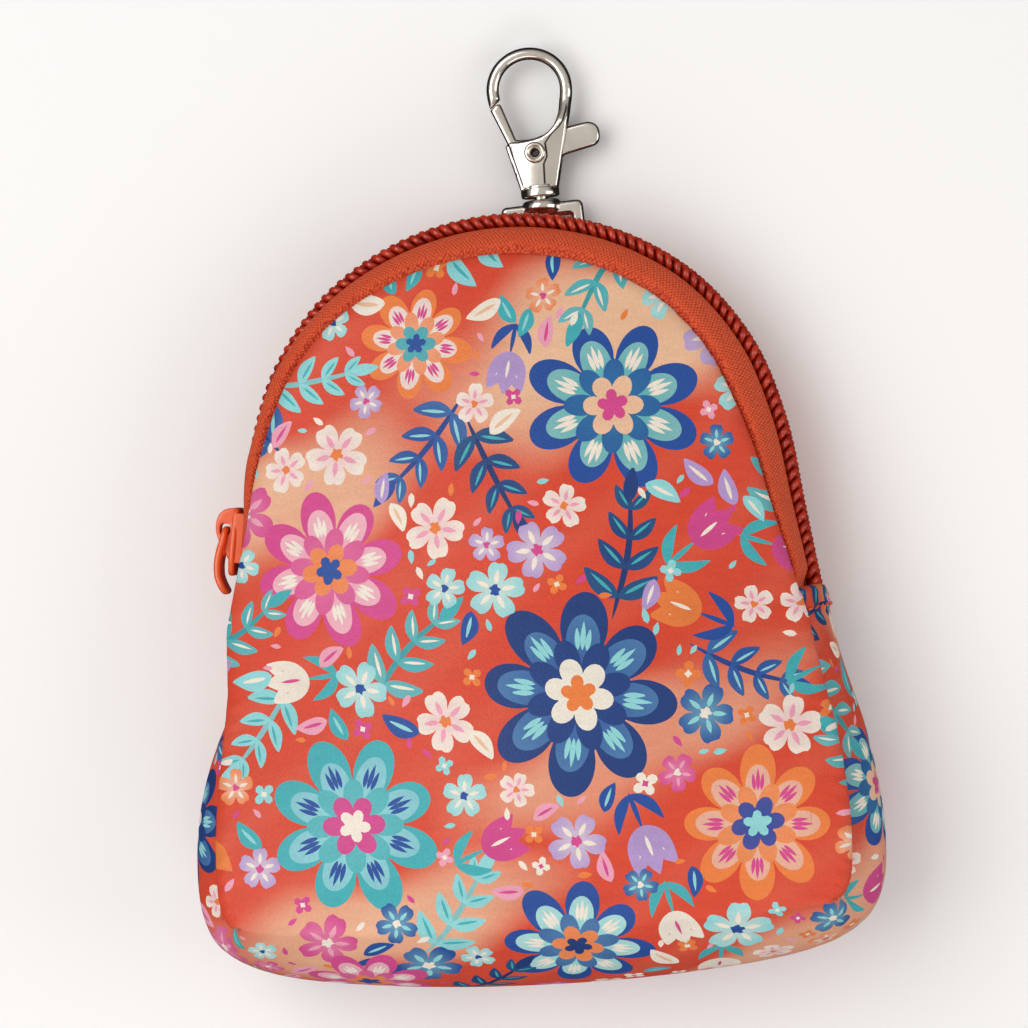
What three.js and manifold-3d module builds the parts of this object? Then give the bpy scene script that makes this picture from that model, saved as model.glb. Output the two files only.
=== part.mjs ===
// Coin pouch: an arch-shaped zipped pouch of printed coated cloth, lying on its back, with a swivel
// trigger clip on a tab at the top. Millimetres: +X across, +Y from the bottom to the clip, +Z up.
// The origin lies on the flat of the back, under the middle of the arch.

import * as THREE from 'three';
import { mergeVertices } from 'three/addons/utils/BufferGeometryUtils.js';
import Module from 'manifold-3d';

const wasm = await Module();
wasm.setup();

// Half of the pouch's outline, from the top of the arch round to the middle of the bottom.
// x, y: the widest line of the wall. frontIn, backIn: how far the front and back edges lie inside it.
// frontZ, crestZ, backZ: heights of the front edge, the widest line and the back edge.
// bend: 0 for a creased front edge, 1 for a soft round one. fold: depth of the tuck beside the seam.
const COLUMNS = ['x', 'y', 'frontIn', 'frontZ', 'crestZ', 'backIn', 'backZ', 'bend', 'fold'];
const OUTLINE = [
  [0.0, 40.0, 6.8, 19.5, 11.0, 6.0, 4.5, 0.0, 0.0],
  [14.8, 37.4, 6.6, 19.7, 11.0, 5.8, 4.4, 0.0, 0.0],
  [27.6, 30.0, 6.0, 20.2, 11.2, 5.2, 4.2, 0.0, 0.0],
  [36.4, 19.0, 5.2, 21.0, 11.6, 4.4, 4.0, 0.0, 0.0],
  [40.9, 6.5, 4.4, 22.0, 12.0, 3.6, 3.8, 0.0, 0.0],
  [43.0, -7.0, 3.6, 23.0, 12.4, 3.0, 3.6, 0.0, 0.0],
  [44.8, -18.7, 3.0, 24.0, 12.8, 2.6, 3.5, 0.0, 0.0],
  [47.0, -30.0, 3.6, 26.5, 13.5, 2.8, 3.6, 0.0, 0.8],
  [50.1, -41.4, 4.6, 29.5, 14.5, 3.2, 3.8, 0.0, 1.6],
  [51.9, -54.0, 5.4, 32.5, 15.5, 3.6, 4.0, 0.0, 1.8],
  [51.3, -64.0, 5.8, 34.0, 16.0, 4.0, 4.0, 0.3, 0.8],
  [47.4, -70.0, 6.8, 34.5, 16.0, 4.6, 4.0, 0.8, 0.0],
  [38.0, -73.8, 8.6, 35.0, 16.2, 5.0, 4.0, 1.0, 0.0],
  [20.0, -76.0, 9.6, 35.5, 16.5, 5.2, 4.0, 1.0, 0.0],
  [0.0, -76.7, 10.0, 35.5, 16.5, 5.2, 4.0, 1.0, 0.0],
].map((row) => Object.fromEntries(COLUMNS.map((column, k) => [column, row[k]])));
const ZIP_END_ROW = 6;
const STEPS_PER_ROW = 3;

// Soft dents and swells of the front: centre, radius each way and depth, a swell being negative.
const DENTS = [
  { x: -16, y: 12, rx: 15, ry: 11, depth: 0.9 },
  { x: 19, y: -6, rx: 12, ry: 18, depth: 0.8 },
  { x: -30, y: -38, rx: 12, ry: 16, depth: 1.0 },
  { x: 36, y: -58, rx: 9, ry: 12, depth: 1.1 },
  { x: 4, y: -60, rx: 20, ry: 8, depth: -0.8 },
];

// Cover and zip
const COVER = 2.0;
const TAPE = 1.0;
const SEAM_GAP = 0.6;
const FRONT_CENTRE = { x: 0, y: -30 };
const FRONT_RISE = 12;
const BACK_RIM = 5.0;
const BACK_CENTRE = { x: 6, y: -18 };
const SEAM_IN = 0.8;
const SEAM_DOWN = 0.6;
const COIL_PROUD = 1.2;
const COIL_HALF = 2.8;
const COIL_DEPTH = 2.3;
const GAP = 0.3;
const ZIP_END_GAP = 0.05;

// Slider and pull, in the slider's own frame: out from the pouch, along the zip, and across it
const SLIDER_ROW = 23.05;
const SLIDER = {
  top: 4.0,
  bottom: -6.4,
  shoulder: 2.2,
  halfTop: 3.2,
  halfBottom: 4.2,
  plate: 1.3,
  round: 0.25,
};
const FLANGE = { thick: 0.7, reach: 0.7, fromBottom: 2.0, fromTop: 0.8 };
const CROWN = { width: 2.6, top: 3.7, bottom: -6.0, peakAt: 1.0, peak: 3.1, thick: 1.0 };
const PULL = { width: 5.4, thick: 1.05, slotHalf: 1.75, slotTop: 0.0, slotEnd: -3.4 };
const PULL_BOW = [
  { along: 1.0, out: 0.85 },
  { along: -0.9, out: 1.45 },
  { along: -2.8, out: 2.2 },
  { along: -4.8, out: 2.6 },
  { along: -6.7, out: 2.3 },
  { along: -8.1, out: 1.55 },
  { along: -9.0, out: 0.6 },
];

// Clip, in its own frame: across, along the hook and up, from the middle of the swivel
const CLIP = { x: 5.0, y: 42.25, z: 3.3, lean: THREE.MathUtils.degToRad(3.1) };
const EYE = {
  half: 6.3,
  top: -0.65,
  bottom: -6.5,
  windowTop: -2.6,
  windowBottom: -4.7,
  post: 1.9,
  thick: 1.9,
  corner: 1.6,
  round: 0.35,
};
const SWIVEL = {
  boss: 2.2,
  bossTop: -0.1,
  post: 1.05,
  head: 1.5,
  headBottom: 2.6,
  headTop: 3.4,
  play: 0.3,
};
const COLLAR = { radius: 3.15, bottom: 0.3, top: 2.1, round: 0.45 };
const CHEEKS = { thick: 4.6, round: 0.45, slot: 2.5, slotBottom: 3.9, slotTop: 11.2 };
const LOOP = { x: 0.1, y: 17.0, rx: 5.65, up: 5.5, down: 7.0, wire: 0.95, from: -42, to: 197 };
const TIP = { x: -5.55, y: 15.4, slant: THREE.MathUtils.degToRad(45) };
const PIVOT = { y: 7.1, pin: 1.0, bore: 0.6, head: 1.65, rise: 0.4, mouth: 0.8, round: 0.25 };
const LEVER = { thick: 1.8, round: 0.2 };
const TAB = { width: 7.6, thick: 1.0, inner: 1.45, tailY: -6.8, tailZ: 0.95, tailRadius: 0.85 };

const cloth = (color) => new THREE.MeshStandardMaterial({ color, roughness: 0.7, metalness: 0 });
const paint = () => new THREE.MeshStandardMaterial({ color: 0xec5a2c, roughness: 0.35, metalness: 0.1 });
const nickel = () => new THREE.MeshStandardMaterial({ color: 0xc9c9cc, roughness: 0.22, metalness: 1 });

const pouch = new THREE.Group();

function addMesh(parent, name, geometry, material) {
  const mesh = new THREE.Mesh(geometry, material);
  mesh.name = name;
  parent.add(mesh);
  return mesh;
}

// The outline as one closed loop of rows, clockwise from the top of the arch
const LEFT_HALF = OUTLINE.slice(1, -1).reverse().map((row) => ({ ...row, x: -row.x }));
const ROWS = [...OUTLINE, ...LEFT_HALF];
const RIGHT_END = ZIP_END_ROW;
const LEFT_END = ROWS.length - ZIP_END_ROW;

// A smooth value between the rows, with its slope
function blendRows(column, at) {
  const first = Math.floor(at);
  const f = at - first;
  const value = (k) => ROWS[(first + k + ROWS.length) % ROWS.length][column];
  const [a, b, c, d] = [value(-1), value(0), value(1), value(2)];
  const linear = (c - a) / 2;
  const square = a - 2.5 * b + 2 * c - d / 2;
  const cube = (d - a) / 2 + 1.5 * (b - c);
  return {
    value: b + f * (linear + f * (square + f * cube)),
    slope: linear + f * (2 * square + 3 * f * cube),
  };
}

// One station of the outline: every column at that place, and the inward direction in plan
function station(at) {
  const wrapped = at % ROWS.length;
  const place = {};
  for (const column of COLUMNS) place[column] = blendRows(column, wrapped).value;
  const along = new THREE.Vector2(blendRows('x', wrapped).slope, blendRows('y', wrapped).slope).normalize();
  place.inward = new THREE.Vector2(along.y, -along.x);
  return place;
}

function stationsBetween(from, to) {
  const count = Math.round((to - from) * STEPS_PER_ROW);
  return Array.from({ length: count + 1 }, (_, k) => station(from + (k * (to - from)) / count));
}

function wallPoint(place, inset, z) {
  return new THREE.Vector3(place.x + place.inward.x * inset, place.y + place.inward.y * inset, z);
}

// The side wall in section: 1 is the front edge, 0 the widest line and -1 the back edge
function sideProfile(place, level, crestIn) {
  const up = level > 0;
  const edgeIn = up ? place.frontIn : place.backIn;
  const height = up ? place.frontZ - place.crestZ : place.crestZ - place.backZ;
  const crease = level * level;
  const round = 1 - Math.sqrt(Math.max(0, 1 - level * level));
  const share = up ? THREE.MathUtils.lerp(crease, round, place.bend) : crease;
  const tuckAt = (level - 0.8) / 0.2;
  const tuck = place.fold * Math.max(0, 1 - tuckAt * tuckAt);
  return { inset: crestIn + (edgeIn - crestIn) * share + tuck, z: place.crestZ + height * level };
}

// Outer and inner points of the side wall at a level, square to its section or along a seam
function sideWall(place, level, crestIn, thickness, seam) {
  const step = 0.02;
  const here = sideProfile(place, level, crestIn);
  const above = sideProfile(place, Math.min(1, level + step), crestIn);
  const below = sideProfile(place, Math.max(-1, level - step), crestIn);
  const square = new THREE.Vector2(above.z - below.z, below.inset - above.inset).normalize();
  const inside = seam ?? square;
  return {
    outer: wallPoint(place, here.inset, here.z),
    inner: wallPoint(place, here.inset + inside.x * thickness, here.z + inside.y * thickness),
  };
}
const FRONT_SEAM = new THREE.Vector2(SEAM_IN, -SEAM_DOWN);
const BACK_SEAM = new THREE.Vector2(1, 0);

// A wall that gathers matching outer and inner points, and strips of triangles between rows of them
class Wall {
  outer = [];
  inner = [];
  triangles = [];

  add({ outer, inner }) {
    this.outer.push(outer);
    this.inner.push(inner);
    return this.outer.length - 1;
  }

  strip(near, far) {
    for (let k = 0; k + 1 < near.length; k += 1) {
      const [a, b, c, d] = [near[k], near[k + 1], far[k + 1], far[k]];
      if (a !== b) this.triangles.push([a, b, c]);
      if (c !== d) this.triangles.push([a, c, d]);
    }
  }

  // Closes the wall across every edge that only one triangle uses
  geometry() {
    const count = this.outer.length;
    const edgesOf = ([a, b, c]) => [[a, b], [b, c], [c, a]];
    const used = new Set(this.triangles.flatMap(edgesOf).map(([p, q]) => `${p} ${q}`));
    const faces = [];
    for (const triangle of this.triangles) {
      faces.push(triangle, triangle.map((k) => k + count).reverse());
      for (const [p, q] of edgesOf(triangle)) {
        if (used.has(`${q} ${p}`)) continue;
        faces.push([q, p, p + count], [q, p + count, q + count]);
      }
    }
    const positions = [...this.outer, ...this.inner].flatMap((point) => point.toArray());
    const geometry = new THREE.BufferGeometry();
    geometry.setAttribute('position', new THREE.Float32BufferAttribute(positions, 3));
    geometry.setIndex(faces.flat());
    return geometry;
  }
}

// The front's edge at a given y, read from the right half of the outline
const EDGE_STEPS = 140;
const EDGE = Array.from({ length: EDGE_STEPS + 1 }, (_, k) => {
  const place = station((k * (OUTLINE.length - 1)) / EDGE_STEPS);
  return wallPoint(place, place.frontIn, place.frontZ);
});

function edgeAt(y) {
  const next = EDGE.findIndex((sample) => sample.y <= y);
  if (next < 1) return EDGE.at(next);
  const [above, below] = [EDGE[next - 1], EDGE[next]];
  return above.clone().lerp(below, (above.y - y) / (above.y - below.y));
}

// How far a point of the front lies inside its edges: 0 on them and 1 in the middle
function insideFront(x, y) {
  const across = Math.min(1, Math.abs(x) / Math.max(edgeAt(y).x, 1e-3));
  const end = y > FRONT_CENTRE.y ? EDGE[0].y : EDGE.at(-1).y;
  const along = (y - FRONT_CENTRE.y) / (end - FRONT_CENTRE.y);
  return (1 - across ** 2) * Math.max(0, 1 - along ** 2);
}

// The front: as high as its edges at each y, crowned between them, with the soft dents
function frontPoint(place, reach) {
  const edge = wallPoint(place, place.frontIn, place.frontZ);
  const x = THREE.MathUtils.lerp(FRONT_CENTRE.x, edge.x, reach);
  const y = THREE.MathUtils.lerp(FRONT_CENTRE.y, edge.y, reach);
  const inside = insideFront(x, y);
  let z = edgeAt(y).z + FRONT_RISE * inside;
  for (const dent of DENTS) {
    const away = ((x - dent.x) / dent.rx) ** 2 + ((y - dent.y) / dent.ry) ** 2;
    z -= dent.depth * Math.exp(-away) * Math.min(1, 4 * inside);
  }
  return new THREE.Vector3(x, y, z);
}

// Front, bottom and gussets in one wall: the front inside its edge, and the side wall from one end
// of the zip round the bottom to the other
function coverFront() {
  const wall = new Wall();
  const around = stationsBetween(0, ROWS.length).slice(0, -1);
  const FRONT_RINGS = [0.16, 0.36, 0.56, 0.74, 0.88, 0.96];
  const down = new THREE.Vector3(0, 0, -COVER);
  const withInner = (outer) => ({ outer, inner: outer.clone().add(down) });
  const centre = wall.add(withInner(frontPoint(around[0], 0)));
  let near = Array(around.length + 1).fill(centre);
  for (const reach of FRONT_RINGS) {
    const ring = around.map((place) => wall.add(withInner(frontPoint(place, reach))));
    const far = [...ring, ring[0]];
    wall.strip(near, far);
    near = far;
  }
  const edge = around.map((place) => wall.add(sideWall(place, 1, 0, COVER, FRONT_SEAM)));
  wall.strip(near, [...edge, edge[0]]);

  const SIDE_LEVELS = [0.97, 0.9, 0.8, 0.65, 0.4, 0.1, -0.25, -0.6];
  const first = RIGHT_END * STEPS_PER_ROW;
  const last = LEFT_END * STEPS_PER_ROW;
  const places = around.slice(first, last + 1);
  near = edge.slice(first, last + 1);
  for (const level of SIDE_LEVELS) {
    const far = places.map((place) => wall.add(sideWall(place, level, 0, COVER)));
    wall.strip(near, far);
    near = far;
  }
  const hem = places.map((place) => {
    const lowest = -1 + SEAM_GAP / (place.crestZ - place.backZ);
    return wall.add(sideWall(place, lowest, 0, COVER, BACK_SEAM));
  });
  wall.strip(near, hem);
  return wall.geometry();
}

// The back: flat where it rests, with a rim that turns up to the side wall
function coverBack() {
  const wall = new Wall();
  const around = stationsBetween(0, ROWS.length).slice(0, -1);
  const RIM_RINGS = [0, 0.25, 0.55, 1];
  let far = null;
  for (const share of RIM_RINGS) {
    const ring = around.map((place) => {
      const inset = place.backIn + BACK_RIM * share;
      const outer = wallPoint(place, inset, place.backZ * (1 - share) ** 2);
      const slope = (2 * place.backZ * (1 - share)) / BACK_RIM;
      const square = new THREE.Vector2(slope, 1).normalize();
      const inside = share === 0 ? BACK_SEAM : square;
      const inner = wallPoint(place, inset + inside.x * COVER, outer.z + inside.y * COVER);
      return wall.add({ outer, inner });
    });
    const near = [...ring, ring[0]];
    if (far) wall.strip(far, near);
    far = near;
  }
  const centre = wall.add({
    outer: new THREE.Vector3(BACK_CENTRE.x, BACK_CENTRE.y, 0),
    inner: new THREE.Vector3(BACK_CENTRE.x, BACK_CENTRE.y, COVER),
  });
  wall.strip(far, Array(far.length).fill(centre));
  return wall.geometry();
}

// One zip tape, from its seam to the flank of the coil
function zipTape(side) {
  const wall = new Wall();
  const places = stationsBetween(LEFT_END + ZIP_END_GAP, ROWS.length + RIGHT_END - ZIP_END_GAP);
  const height = (place) => (side > 0 ? place.frontZ - place.crestZ : place.crestZ - place.backZ);
  const seamLevel = (place) => 1 - (side > 0 ? SEAM_GAP : 2 * SEAM_GAP) / height(place);
  const coilLevel = (place) => (COIL_HALF + GAP) / height(place);
  const RINGS = [0, 0.35, 0.7, 1];
  let near = null;
  for (const share of RINGS) {
    const seam = share > 0 ? null : side > 0 ? FRONT_SEAM : BACK_SEAM;
    const far = places.map((place) => {
      const level = THREE.MathUtils.lerp(seamLevel(place), coilLevel(place), share);
      return wall.add(sideWall(place, side * level, COIL_PROUD, TAPE, seam));
    });
    if (near && side > 0) wall.strip(near, far);
    if (near && side < 0) wall.strip(far, near);
    near = far;
  }
  return wall.geometry();
}

// The closed coil: a rounded bar that stands proud of the tapes, with its two ends filled
function zipCoil() {
  const SIDES = 10;
  const places = stationsBetween(LEFT_END + ZIP_END_GAP, ROWS.length + RIGHT_END - ZIP_END_GAP);
  const positions = [];
  const faces = [];
  const at = (k, side) => k * SIDES + ((side + SIDES) % SIDES);
  places.forEach((place, k) => {
    for (let side = 0; side < SIDES; side += 1) {
      const turn = ((side + 0.5) * 2 * Math.PI) / SIDES;
      const inset = (COIL_DEPTH / 2) * (1 - Math.cos(turn));
      positions.push(...wallPoint(place, inset, place.crestZ + COIL_HALF * Math.sin(turn)).toArray());
      if (k === 0) continue;
      faces.push(at(k - 1, side), at(k - 1, side + 1), at(k, side + 1));
      faces.push(at(k - 1, side), at(k, side + 1), at(k, side));
    }
  });
  for (let side = 1; side + 1 < SIDES; side += 1) {
    faces.push(at(0, 0), at(0, side + 1), at(0, side));
    faces.push(at(places.length - 1, 0), at(places.length - 1, side), at(places.length - 1, side + 1));
  }
  const geometry = new THREE.BufferGeometry();
  geometry.setAttribute('position', new THREE.Float32BufferAttribute(positions, 3));
  geometry.setIndex(faces);
  return geometry;
}

// Joins and cuts of closed geometries
function solid(geometry) {
  const bare = geometry.clone();
  bare.deleteAttribute('normal');
  bare.deleteAttribute('uv');
  const merged = mergeVertices(bare, 1e-4);
  const mesh = new wasm.Mesh({
    numProp: 3,
    vertProperties: new Float32Array(merged.attributes.position.array),
    triVerts: new Uint32Array(merged.index.array),
  });
  return new wasm.Manifold(mesh);
}

function fromSolid(shape) {
  const mesh = shape.getMesh();
  const geometry = new THREE.BufferGeometry();
  geometry.setAttribute('position', new THREE.BufferAttribute(mesh.vertProperties, 3));
  geometry.setIndex(new THREE.BufferAttribute(mesh.triVerts, 1));
  return geometry;
}

function join(...parts) {
  return fromSolid(parts.map(solid).reduce((whole, part) => whole.add(part)));
}

function cut(body, ...tools) {
  return fromSolid(tools.map(solid).reduce((rest, tool) => rest.subtract(tool), solid(body)));
}

// An outline made solid, centred on its thickness, with rounded rims
function plate(shape, thick, round, curveSegments) {
  const geometry = new THREE.ExtrudeGeometry(shape, {
    depth: thick - 2 * round,
    bevelEnabled: round > 0,
    bevelThickness: round,
    bevelSize: round,
    bevelOffset: -round,
    bevelSegments: 2,
    curveSegments,
  });
  return geometry.translate(0, 0, round - thick / 2);
}

function box(low, high) {
  const size = high.map((value, k) => value - low[k]);
  const centre = high.map((value, k) => (value + low[k]) / 2);
  return new THREE.BoxGeometry(...size).translate(...centre);
}

const shapeOf = (points) => new THREE.Shape(points.map(([x, y]) => new THREE.Vector2(x, y)));
const upright = (radius, low, high, sides) =>
  new THREE.CylinderGeometry(radius, radius, high - low, sides).translate(0, (low + high) / 2, 0);

// Slider and pull. In their group -X points out from the pouch, +Y runs up the zip and +Z across it.
const sliderPlace = station(SLIDER_ROW);
const sliderGroup = new THREE.Group();
sliderGroup.position.copy(wallPoint(sliderPlace, 0, sliderPlace.crestZ));
sliderGroup.rotation.z = Math.atan2(sliderPlace.inward.y, sliderPlace.inward.x);
const PLATE_OUT = GAP + SLIDER.plate;
const turnedAcross = new THREE.Matrix4().makeBasis(
  new THREE.Vector3(0, 1, 0),
  new THREE.Vector3(0, 0, 1),
  new THREE.Vector3(1, 0, 0),
);
const besideZip = new THREE.Matrix4()
  .makeBasis(new THREE.Vector3(0, 1, 0), new THREE.Vector3(-1, 0, 0), new THREE.Vector3(0, 0, 1))
  .setPosition(-PLATE_OUT, 0, 0);

function zipSlider() {
  const { top, bottom, shoulder, halfTop, halfBottom, plate: thick, round } = SLIDER;
  const halfOutline = [
    [bottom, halfTop],
    [bottom + shoulder, halfBottom],
    [0, halfBottom],
    [top, halfTop],
  ];
  const otherHalf = halfOutline.map(([along, across]) => [along, -across]).reverse();
  const face = plate(shapeOf([...otherHalf, ...halfOutline].reverse()), thick, round, 2);
  face.applyMatrix4(turnedAcross).translate(-GAP - thick / 2, 0, 0);
  const flanges = [-1, 1].map((side) => {
    const edges = [side * halfTop, side * (halfTop + FLANGE.thick)];
    return box(
      [-GAP - thick / 2, bottom + FLANGE.fromBottom, Math.min(...edges)],
      [FLANGE.reach, top - FLANGE.fromTop, Math.max(...edges)],
    );
  });
  const sunk = 0.5;
  const { peakAt, peak, thick: strap } = CROWN;
  const bridge = new THREE.Shape();
  bridge.moveTo(CROWN.top, -sunk);
  bridge.bezierCurveTo(CROWN.top, 2.2, peakAt + 1.6, peak, peakAt, peak);
  bridge.bezierCurveTo(peakAt - 2.4, peak, CROWN.bottom + 2, 0.9, CROWN.bottom, -sunk);
  bridge.lineTo(CROWN.bottom + strap + 0.6, -sunk);
  bridge.bezierCurveTo(CROWN.bottom + 3, 0.5, peakAt - 2.2, peak - strap, peakAt, peak - strap);
  bridge.bezierCurveTo(peakAt + 1, peak - strap, CROWN.top - strap, 1.4, CROWN.top - strap, -sunk);
  const crown = plate(bridge, CROWN.width, 0, 6).applyMatrix4(besideZip);
  return join(face, ...flanges, crown);
}

function zipPuller() {
  const bow = new THREE.SplineCurve(PULL_BOW.map(({ along, out }) => new THREE.Vector2(along, out)));
  const STEPS = 16;
  const sides = [1, -1].map((side) =>
    Array.from({ length: STEPS + 1 }, (_, k) => {
      const point = bow.getPoint(k / STEPS);
      const along = bow.getTangent(k / STEPS);
      const taper = k === 0 || k === STEPS ? 0.7 : 1;
      const half = (side * taper * PULL.thick) / 2;
      return [point.x - along.y * half, point.y + along.x * half];
    }),
  );
  const bowed = shapeOf([...sides[0], ...sides[1].reverse()]);
  const strip = plate(bowed, PULL.width, 0, 1).applyMatrix4(besideZip);
  const slot = box(
    [-PLATE_OUT - 5, PULL.slotEnd, -PULL.slotHalf],
    [1, PULL.slotTop, PULL.slotHalf],
  );
  return cut(strip, slot);
}

// Clip. In its group +X is across, +Y along the hook and +Z up.
const clipGroup = new THREE.Group();
clipGroup.position.set(CLIP.x, CLIP.y, CLIP.z);
clipGroup.rotation.z = CLIP.lean;

function clipTab() {
  const barY = (EYE.windowBottom + EYE.bottom) / 2;
  const disc = (y, z, radius) => new THREE.Shape().absarc(y - barY, z, radius, 0, 2 * Math.PI);
  const strap = plate(disc(barY, 0, TAB.inner + TAB.thick), TAB.width, 0, 9);
  const tail = plate(disc(TAB.tailY, TAB.tailZ, TAB.tailRadius), TAB.width, 0, 6);
  const hole = plate(disc(barY, 0, TAB.inner), 2 * TAB.width, 0, 9);
  return cut(join(strap, tail), hole).applyMatrix4(turnedAcross).translate(0, barY, 0);
}

function clipEye() {
  const ring = new THREE.Shape();
  const { corner } = EYE;
  ring.moveTo(-EYE.half, EYE.bottom + corner);
  ring.lineTo(-EYE.half, EYE.top - corner);
  ring.quadraticCurveTo(-EYE.half, EYE.top, -EYE.half + corner, EYE.top);
  ring.lineTo(EYE.half - corner, EYE.top);
  ring.quadraticCurveTo(EYE.half, EYE.top, EYE.half, EYE.top - corner);
  ring.lineTo(EYE.half, EYE.bottom + corner);
  ring.quadraticCurveTo(EYE.half, EYE.bottom, EYE.half - corner, EYE.bottom);
  ring.lineTo(-EYE.half + corner, EYE.bottom);
  ring.quadraticCurveTo(-EYE.half, EYE.bottom, -EYE.half, EYE.bottom + corner);
  const side = EYE.half - EYE.post;
  ring.holes.push(
    new THREE.Path([
      new THREE.Vector2(-side, EYE.windowBottom),
      new THREE.Vector2(side, EYE.windowBottom),
      new THREE.Vector2(side, EYE.windowTop),
      new THREE.Vector2(-side, EYE.windowTop),
    ]),
  );
  const frame = plate(ring, EYE.thick, EYE.round, 4);
  const boss = upright(SWIVEL.boss, EYE.top - 1.2, SWIVEL.bossTop, 16);
  const post = upright(SWIVEL.post, EYE.top - 0.5, SWIVEL.headBottom + 0.2, 12);
  const head = upright(SWIVEL.head, SWIVEL.headBottom, SWIVEL.headTop, 12);
  return join(frame, boss, post, head);
}

// The loop of the hook: an egg-shaped arc from its root on the right over to its tip on the left
class LoopCurve extends THREE.Curve {
  getPoint(t) {
    const turn = THREE.MathUtils.degToRad(THREE.MathUtils.lerp(LOOP.from, LOOP.to, t));
    const rise = Math.sin(turn) > 0 ? LOOP.up : LOOP.down;
    return new THREE.Vector3(LOOP.x + LOOP.rx * Math.cos(turn), LOOP.y + rise * Math.sin(turn), 0);
  }
}

// The tip of the loop is cut on a slant, so that the gate slides clear of it
function clipHook() {
  const cheek = new THREE.Shape();
  cheek.moveTo(-2.85, 1.5);
  cheek.lineTo(2.8, 1.5);
  cheek.lineTo(5.35, 11.0);
  cheek.lineTo(5.75, 12.9);
  cheek.lineTo(3.95, 13.2);
  cheek.quadraticCurveTo(3.2, 10.1, -0.2, 9.1);
  cheek.quadraticCurveTo(-2.2, 8.8, -3.7, 9.2);
  cheek.lineTo(-4.5, 8.4);
  const body = plate(cheek, CHEEKS.thick, CHEEKS.round, 4);
  const section = new THREE.Shape().absarc(0, 0, LOOP.wire, 0, 2 * Math.PI);
  const alongLoop = { extrudePath: new LoopCurve(), steps: 22, curveSegments: 5 };
  const loop = new THREE.ExtrudeGeometry(section, alongLoop);
  const { radius, bottom, top, round } = COLLAR;
  const collarProfile = [
    [0, bottom],
    [radius - round, bottom],
    [radius, bottom + round],
    [radius, top - round],
    [radius - round, top],
    [0, top],
  ];
  const collar = new THREE.LatheGeometry(collarProfile.map(([x, y]) => new THREE.Vector2(x, y)), 18);
  const tipCut = box([-6, -8, -4], [6, 0, 4]).rotateZ(TIP.slant).translate(TIP.x, TIP.y, 0);
  const tipSide = box([-12, 5, -4], [-2, TIP.y + 4, 4]);
  const tipTool = fromSolid(solid(tipCut).intersect(solid(tipSide)));
  const slot = box([-8, CHEEKS.slotBottom, -CHEEKS.slot / 2], [12, CHEEKS.slotTop, CHEEKS.slot / 2]);
  const pinHole = new THREE.CylinderGeometry(PIVOT.pin + GAP, PIVOT.pin + GAP, 10, 14)
    .rotateX(Math.PI / 2)
    .translate(0, PIVOT.y, 0);
  const bore = upright(SWIVEL.post + SWIVEL.play, -1, CHEEKS.slotBottom, 12);
  const pocketBottom = SWIVEL.headBottom - SWIVEL.play;
  const pocket = upright(SWIVEL.head + SWIVEL.play, pocketBottom, CHEEKS.slotBottom + GAP, 12);
  return cut(join(body, cut(loop, tipTool), collar), slot, pinHole, bore, pocket);
}

function clipGate() {
  const arm = new THREE.Shape();
  arm.moveTo(-6.15, 14.2);
  arm.lineTo(-4.75, 15.6);
  arm.lineTo(-2.8, 9.5);
  arm.quadraticCurveTo(-1.2, 9.2, 0.4, 9.5);
  arm.lineTo(3.6, 10.4);
  arm.lineTo(8.2, 11.0);
  arm.quadraticCurveTo(10.2, 10.9, 10.1, 9.0);
  arm.quadraticCurveTo(10.1, 7.4, 8.7, 7.2);
  arm.lineTo(4.4, 6.4);
  arm.quadraticCurveTo(2.2, 4.7, 0, 4.7);
  arm.quadraticCurveTo(-2.6, 4.9, -3.9, 8.3);
  arm.holes.push(new THREE.Path().absarc(0, PIVOT.y, PIVOT.pin + GAP, 0, 2 * Math.PI));
  return plate(arm, LEVER.thick, LEVER.round, 6);
}

// The hollow rivet: a short tube with a turned-over head on each cheek
function clipRivet() {
  const seat = CHEEKS.thick / 2 + GAP / 2;
  const end = seat + PIVOT.rise;
  const { bore, pin, head, mouth, round } = PIVOT;
  const profile = [
    [bore, -end + round],
    [mouth, -end],
    [head - round, -end],
    [head, -seat],
    [pin, -seat],
    [pin, seat],
    [head, seat],
    [head - round, end],
    [mouth, end],
    [bore, end - round],
    [bore, -end + round],
  ];
  return new THREE.LatheGeometry(profile.map(([x, y]) => new THREE.Vector2(x, y)), 14)
    .rotateX(Math.PI / 2)
    .translate(0, PIVOT.y, 0);
}

addMesh(pouch, 'cover_front', coverFront(), cloth(0xe0573a));
addMesh(pouch, 'cover_back', coverBack(), cloth(0xe0573a));
addMesh(pouch, 'zip_tape_front', zipTape(1), cloth(0xd25a2e));
addMesh(pouch, 'zip_tape_back', zipTape(-1), cloth(0xd25a2e));
addMesh(pouch, 'zip_coil', zipCoil(), cloth(0xc9401f));
addMesh(sliderGroup, 'zip_slider', zipSlider(), paint());
addMesh(sliderGroup, 'zip_puller', zipPuller(), paint());
addMesh(clipGroup, 'clip_tab', clipTab(), cloth(0xc23a24));
addMesh(clipGroup, 'clip_eye', clipEye(), nickel());
addMesh(clipGroup, 'clip_hook', clipHook(), nickel());
addMesh(clipGroup, 'clip_gate', clipGate(), nickel());
addMesh(clipGroup, 'clip_rivet', clipRivet(), nickel());
pouch.add(sliderGroup, clipGroup);

export default pouch;
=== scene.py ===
import math
import random
from types import SimpleNamespace

import bpy
import numpy as np
from mathutils import Matrix, Vector, kdtree
from mathutils.geometry import delaunay_2d_cdt


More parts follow.
